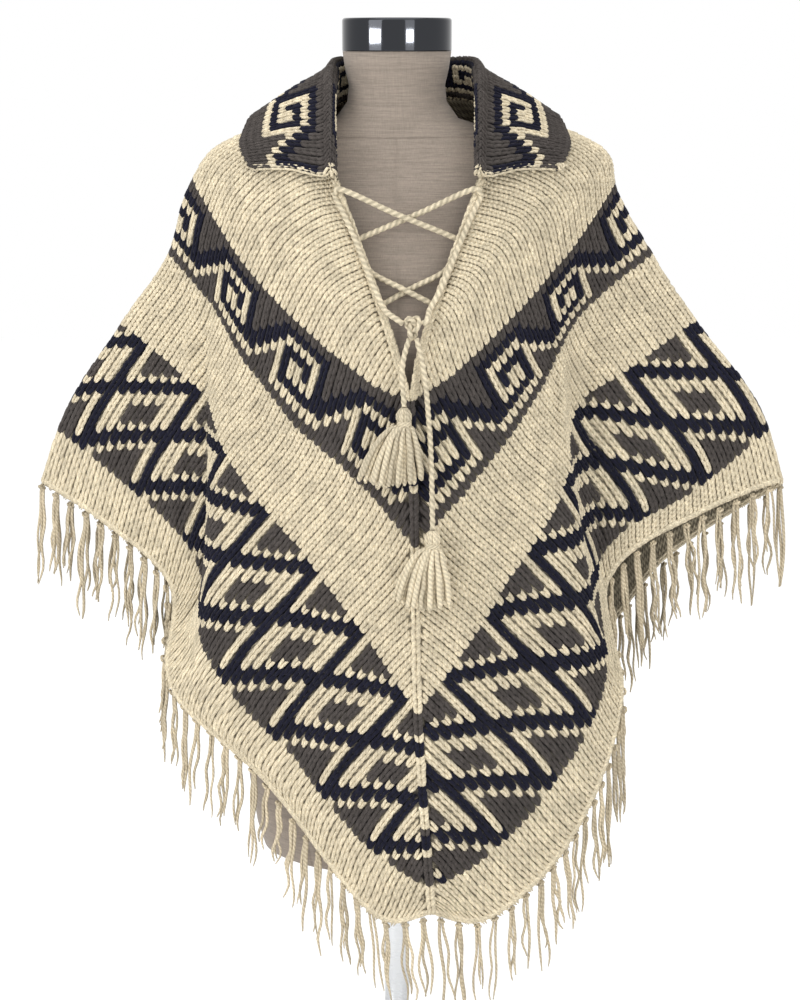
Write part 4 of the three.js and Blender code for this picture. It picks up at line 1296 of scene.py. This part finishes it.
def ramp(nodes, links, value, low, high, from_low=0.0, from_high=1.0):
    node = nodes.new("ShaderNodeMapRange")
    node.inputs["From Min"].default_value = from_low
    node.inputs["From Max"].default_value = from_high
    node.inputs["To Min"].default_value = low
    node.inputs["To Max"].default_value = high
    links.new(value, node.inputs["Value"])
    return node.outputs["Result"]


def scaled_colour(nodes, links, colour, factor):
    node = nodes.new("ShaderNodeVectorMath")
    node.operation = "SCALE"
    links.new(colour, node.inputs[0])
    links.new(factor, node.inputs["Scale"])
    return node.outputs["Vector"]


# %% Wool
FIBRE_SCALE = 900


def wool_material(name, plies_per_cm, bump, fleck, painted_groove_shade):
    material, nodes, links = new_material(name)
    shader = nodes["Principled BSDF"]
    place = nodes.new("ShaderNodeTexCoord").outputs["Object"]
    paint = nodes.new("ShaderNodeVertexColor")
    paint.layer_name = "wool"
    yarn = nodes.new("ShaderNodeUVMap")
    yarn.uv_map = "Yarn"
    split = nodes.new("ShaderNodeSeparateXYZ")
    links.new(yarn.outputs["UV"], split.inputs[0])
    along = math_node(nodes, links, "MULTIPLY", split.outputs["X"], plies_per_cm)
    wound = math_node(nodes, links, "ADD", along, split.outputs["Y"])
    wave = math_node(nodes, links, "SINE", math_node(nodes, links, "MULTIPLY", wound, 4 * math.pi))
    ply = ramp(nodes, links, wave, 0, 1, -1, 1)
    fibre = noise_node(nodes, links, place, FIBRE_SCALE, 3, 0.6)
    mottle = noise_node(nodes, links, place, 45, 3, 0.6)
    # Painted shade: the colour darkens in the grooves between the plies; the mottle and the flecks are the
    # wool's own uneven tone.
    shade = math_node(
        nodes, links, "MULTIPLY", ramp(nodes, links, ply, painted_groove_shade, 1.06),
        ramp(nodes, links, mottle, 0.88, 1.12, 0.3, 0.7))
    flecks = ramp(nodes, links, fibre, 1 - fleck, 1 + fleck, 0.3, 0.7)
    shade = math_node(nodes, links, "MULTIPLY", shade, flecks)
    links.new(scaled_colour(nodes, links, paint.outputs["Color"], shade), shader.inputs["Base Color"])
    shader.inputs["Roughness"].default_value = 0.92
    shader.inputs["Specular IOR Level"].default_value = 0.1
    shader.inputs["Sheen Weight"].default_value = 0.05
    shader.inputs["Sheen Roughness"].default_value = 0.55
    shader.inputs["Sheen Tint"].default_value = (1.0, 0.95, 0.86, 1)
    height = math_node(nodes, links, "ADD", math_node(nodes, links, "MULTIPLY", ply, 0.6), fibre)
    node = nodes.new("ShaderNodeBump")
    node.inputs["Strength"].default_value = bump
    node.inputs["Distance"].default_value = 0.0007
    links.new(height, node.inputs["Height"])
    links.new(node.outputs["Normal"], shader.inputs["Normal"])
    return material


# The last number is how dark the painted shade in the ply grooves is.
stitch_wool = wool_material("stitch_wool", 1.2, 0.5, 0.28, 0.84)
cord_wool = wool_material("cord_wool", 0.75, 0.45, 0.14, 0.62)
fringe_wool = wool_material("fringe_wool", 1.1, 0.6, 0.18, 0.72)

# %% [markdown]
# The ground shows the back of the knitting too: rows of small purl bumps. Its map counts wales along U and
# rows along V, so two waves make the bumps at their true size. The colour is darker between the bumps and
# lighter on their tops: painted shade and painted highlight.

# %% The ground's wool
def ground_material():
    material, nodes, links = new_material("ground_wool")
    shader = nodes["Principled BSDF"]
    place = nodes.new("ShaderNodeTexCoord").outputs["Object"]
    paint = nodes.new("ShaderNodeVertexColor")
    paint.layer_name = "wool"
    yarn = nodes.new("ShaderNodeUVMap")
    yarn.uv_map = "Yarn"
    split = nodes.new("ShaderNodeSeparateXYZ")
    links.new(yarn.outputs["UV"], split.inputs[0])
    half_wales = math_node(nodes, links, "MULTIPLY", split.outputs["X"], 4 * math.pi)
    bow = math_node(nodes, links, "MULTIPLY", math_node(nodes, links, "SINE", half_wales), 0.22)
    bowed = math_node(nodes, links, "ADD", split.outputs["Y"], bow)
    rows = math_node(nodes, links, "MULTIPLY", bowed, 2 * math.pi)
    bump = ramp(nodes, links, math_node(nodes, links, "SINE", rows), 0, 1, -1, 1)
    fibre = noise_node(nodes, links, place, FIBRE_SCALE, 3, 0.6)
    mottle = noise_node(nodes, links, place, 60, 2)
    # Painted shade and highlight: the colour is darker between the purl bumps and lighter on their tops; the
    # mottle is the wool's own uneven tone.
    shade = math_node(
        nodes, links, "MULTIPLY", ramp(nodes, links, bump, 0.6, 1.5),
        ramp(nodes, links, mottle, 0.85, 1.15, 0.3, 0.7))
    links.new(scaled_colour(nodes, links, paint.outputs["Color"], shade), shader.inputs["Base Color"])
    shader.inputs["Roughness"].default_value = 0.95
    shader.inputs["Specular IOR Level"].default_value = 0.08
    shader.inputs["Sheen Weight"].default_value = 0.03
    height = math_node(nodes, links, "ADD", bump, math_node(nodes, links, "MULTIPLY", fibre, 0.3))
    node = nodes.new("ShaderNodeBump")
    node.inputs["Strength"].default_value = 0.9
    node.inputs["Distance"].default_value = 0.0016
    links.new(height, node.inputs["Height"])
    links.new(node.outputs["Normal"], shader.inputs["Normal"])
    return material


ground_wool = ground_material()

# %% [markdown]
# The form's linen has thick and thin threads: fine threads both ways and long slubs lying level. Noise
# that is stretched sideways gives the slubs.

# %% Linen
def stretched(nodes, links, place, scale):
    node = nodes.new("ShaderNodeMapping")
    node.inputs["Scale"].default_value = scale
    links.new(place, node.inputs["Vector"])
    return node.outputs["Vector"]


def linen_material():
    material, nodes, links = new_material("slub_linen")
    shader = nodes["Principled BSDF"]
    place = nodes.new("ShaderNodeTexCoord").outputs["Object"]
    weft = noise_node(nodes, links, stretched(nodes, links, place, (110, 110, 1500)), 1, 3, 0.6)
    warp = noise_node(nodes, links, stretched(nodes, links, place, (1100, 1100, 90)), 1, 2, 0.5)
    slub = noise_node(nodes, links, stretched(nodes, links, place, (30, 30, 650)), 1, 2, 0.5)
    cloth_noise = math_node(
        nodes, links, "ADD", math_node(nodes, links, "MULTIPLY", weft, 0.6),
        math_node(nodes, links, "MULTIPLY", warp, 0.4))
    shade = math_node(
        nodes, links, "MULTIPLY", ramp(nodes, links, cloth_noise, 0.82, 1.2, 0.3, 0.7),
        ramp(nodes, links, slub, 0.9, 1.1, 0.35, 0.65))
    base = nodes.new("ShaderNodeCombineXYZ")
    for socket, value in zip(base.inputs, (0.225, 0.188, 0.155)):
        socket.default_value = value
    links.new(scaled_colour(nodes, links, base.outputs[0], shade), shader.inputs["Base Color"])
    shader.inputs["Roughness"].default_value = 0.9
    shader.inputs["Specular IOR Level"].default_value = 0.2
    shader.inputs["Sheen Weight"].default_value = 0.12
    node = nodes.new("ShaderNodeBump")
    node.inputs["Strength"].default_value = 0.5
    node.inputs["Distance"].default_value = 0.0005
    links.new(math_node(nodes, links, "ADD", cloth_noise, slub), node.inputs["Height"])
    links.new(node.outputs["Normal"], shader.inputs["Normal"])
    return material


linen = linen_material()

# %% Polished and satin metal
def metal_material(name, colour, roughness, brushed):
    material, nodes, links = new_material(name)
    shader = nodes["Principled BSDF"]
    place = nodes.new("ShaderNodeTexCoord").outputs["Object"]
    grain = noise_node(nodes, links, stretched(nodes, links, place, brushed), 1, 3, 0.6)
    uneven = ramp(nodes, links, grain, roughness * 0.8, roughness * 1.25, 0.3, 0.7)
    links.new(uneven, shader.inputs["Roughness"])
    shader.inputs["Base Color"].default_value = (*colour, 1)
    shader.inputs["Metallic"].default_value = 1
    node = nodes.new("ShaderNodeBump")
    node.inputs["Strength"].default_value = 0.05
    node.inputs["Distance"].default_value = 0.0001
    links.new(grain, node.inputs["Height"])
    links.new(node.outputs["Normal"], shader.inputs["Normal"])
    return material


chrome = metal_material("dark_chrome", (0.045, 0.047, 0.052), 0.07, (30, 30, 30))
satin = metal_material("satin_steel", (0.55, 0.56, 0.57), 0.3, (60, 60, 900))

# %% Give each piece its finish
def finish_piece(piece, material):
    piece.data.materials.clear()
    piece.data.materials.append(material)


for group in stitches.values():
    for piece in group:
        finish_piece(piece, stitch_wool)
for piece in ground.values():
    finish_piece(piece, ground_wool)
for piece in [*laces, knot, corner_knot, *(facts[0] for facts in free_ends.values())]:
    finish_piece(piece, cord_wool)
for piece in [*fringes["left"], *fringes["right"], *tassels["short"], *tassels["long"]]:
    finish_piece(piece, fringe_wool)
finish_piece(form, linen)
finish_piece(cap, chrome)
finish_piece(post, satin)
finish_piece(base, satin)

# %% [markdown]
# A plain white floor, and plain soft studio light: two tall soft boxes in front, left and right, one
# above, and white light from all round. The cap shows two bright streaks, the reflections of narrow
# windows of light. Two low lamps give them: they shine in gloss alone, so they don't flatten the wool.

# %% Floor and lights
floor_shape = bmesh.new()
bmesh.ops.create_grid(floor_shape, x_segments=1, y_segments=1, size=6)
floor_mesh = bpy.data.meshes.new("floor")
floor_shape.to_mesh(floor_mesh)
floor_shape.free()
floor = bpy.data.objects.new("floor", floor_mesh)
bpy.context.collection.objects.link(floor)
floor_paint, floor_nodes, _ = new_material("floor_paint")
floor_nodes["Principled BSDF"].inputs["Base Color"].default_value = (1, 1, 1, 1)
floor_nodes["Principled BSDF"].inputs["Roughness"].default_value = 0.9
floor_mesh.materials.append(floor_paint)


def soft_box(name, azimuth, distance, up, width, height, power, shine_only=False):
    lamp_data = bpy.data.lights.new(name, "AREA")
    lamp_data.shape = "RECTANGLE"
    lamp_data.size = width
    lamp_data.size_y = height
    lamp_data.energy = power
    lamp = bpy.data.objects.new(name, lamp_data)
    angle = math.radians(azimuth)
    lamp.location = (distance * math.sin(angle), -distance * math.cos(angle), up)
    lamp.visible_diffuse = not shine_only
    aim = Vector((0, 0, 1.1 if shine_only else 0.75)) - lamp.location
    lamp.rotation_euler = aim.to_track_quat("-Z", "Y").to_euler()
    bpy.context.collection.objects.link(lamp)


soft_box("left_box", -46, 2.7, 1.5, 1.4, 2.0, 30)
soft_box("right_box", 27, 2.9, 1.5, 1.0, 2.0, 14)
soft_box("top_box", 0, 0.4, 3.0, 2.2, 2.2, 26)
soft_box("left_streak", -46, 2.7, 1.1, 1.2, 0.4, 60, shine_only=True)
soft_box("right_streak", 27, 2.9, 1.1, 0.8, 0.4, 40, shine_only=True)

world = bpy.data.worlds.new("studio")
world.use_nodes = True
world.node_tree.nodes["Background"].inputs["Color"].default_value = (1, 1, 1, 1)
world.node_tree.nodes["Background"].inputs["Strength"].default_value = 1.0
bpy.context.scene.world = world
bpy.context.scene.view_settings.view_transform = "Standard"
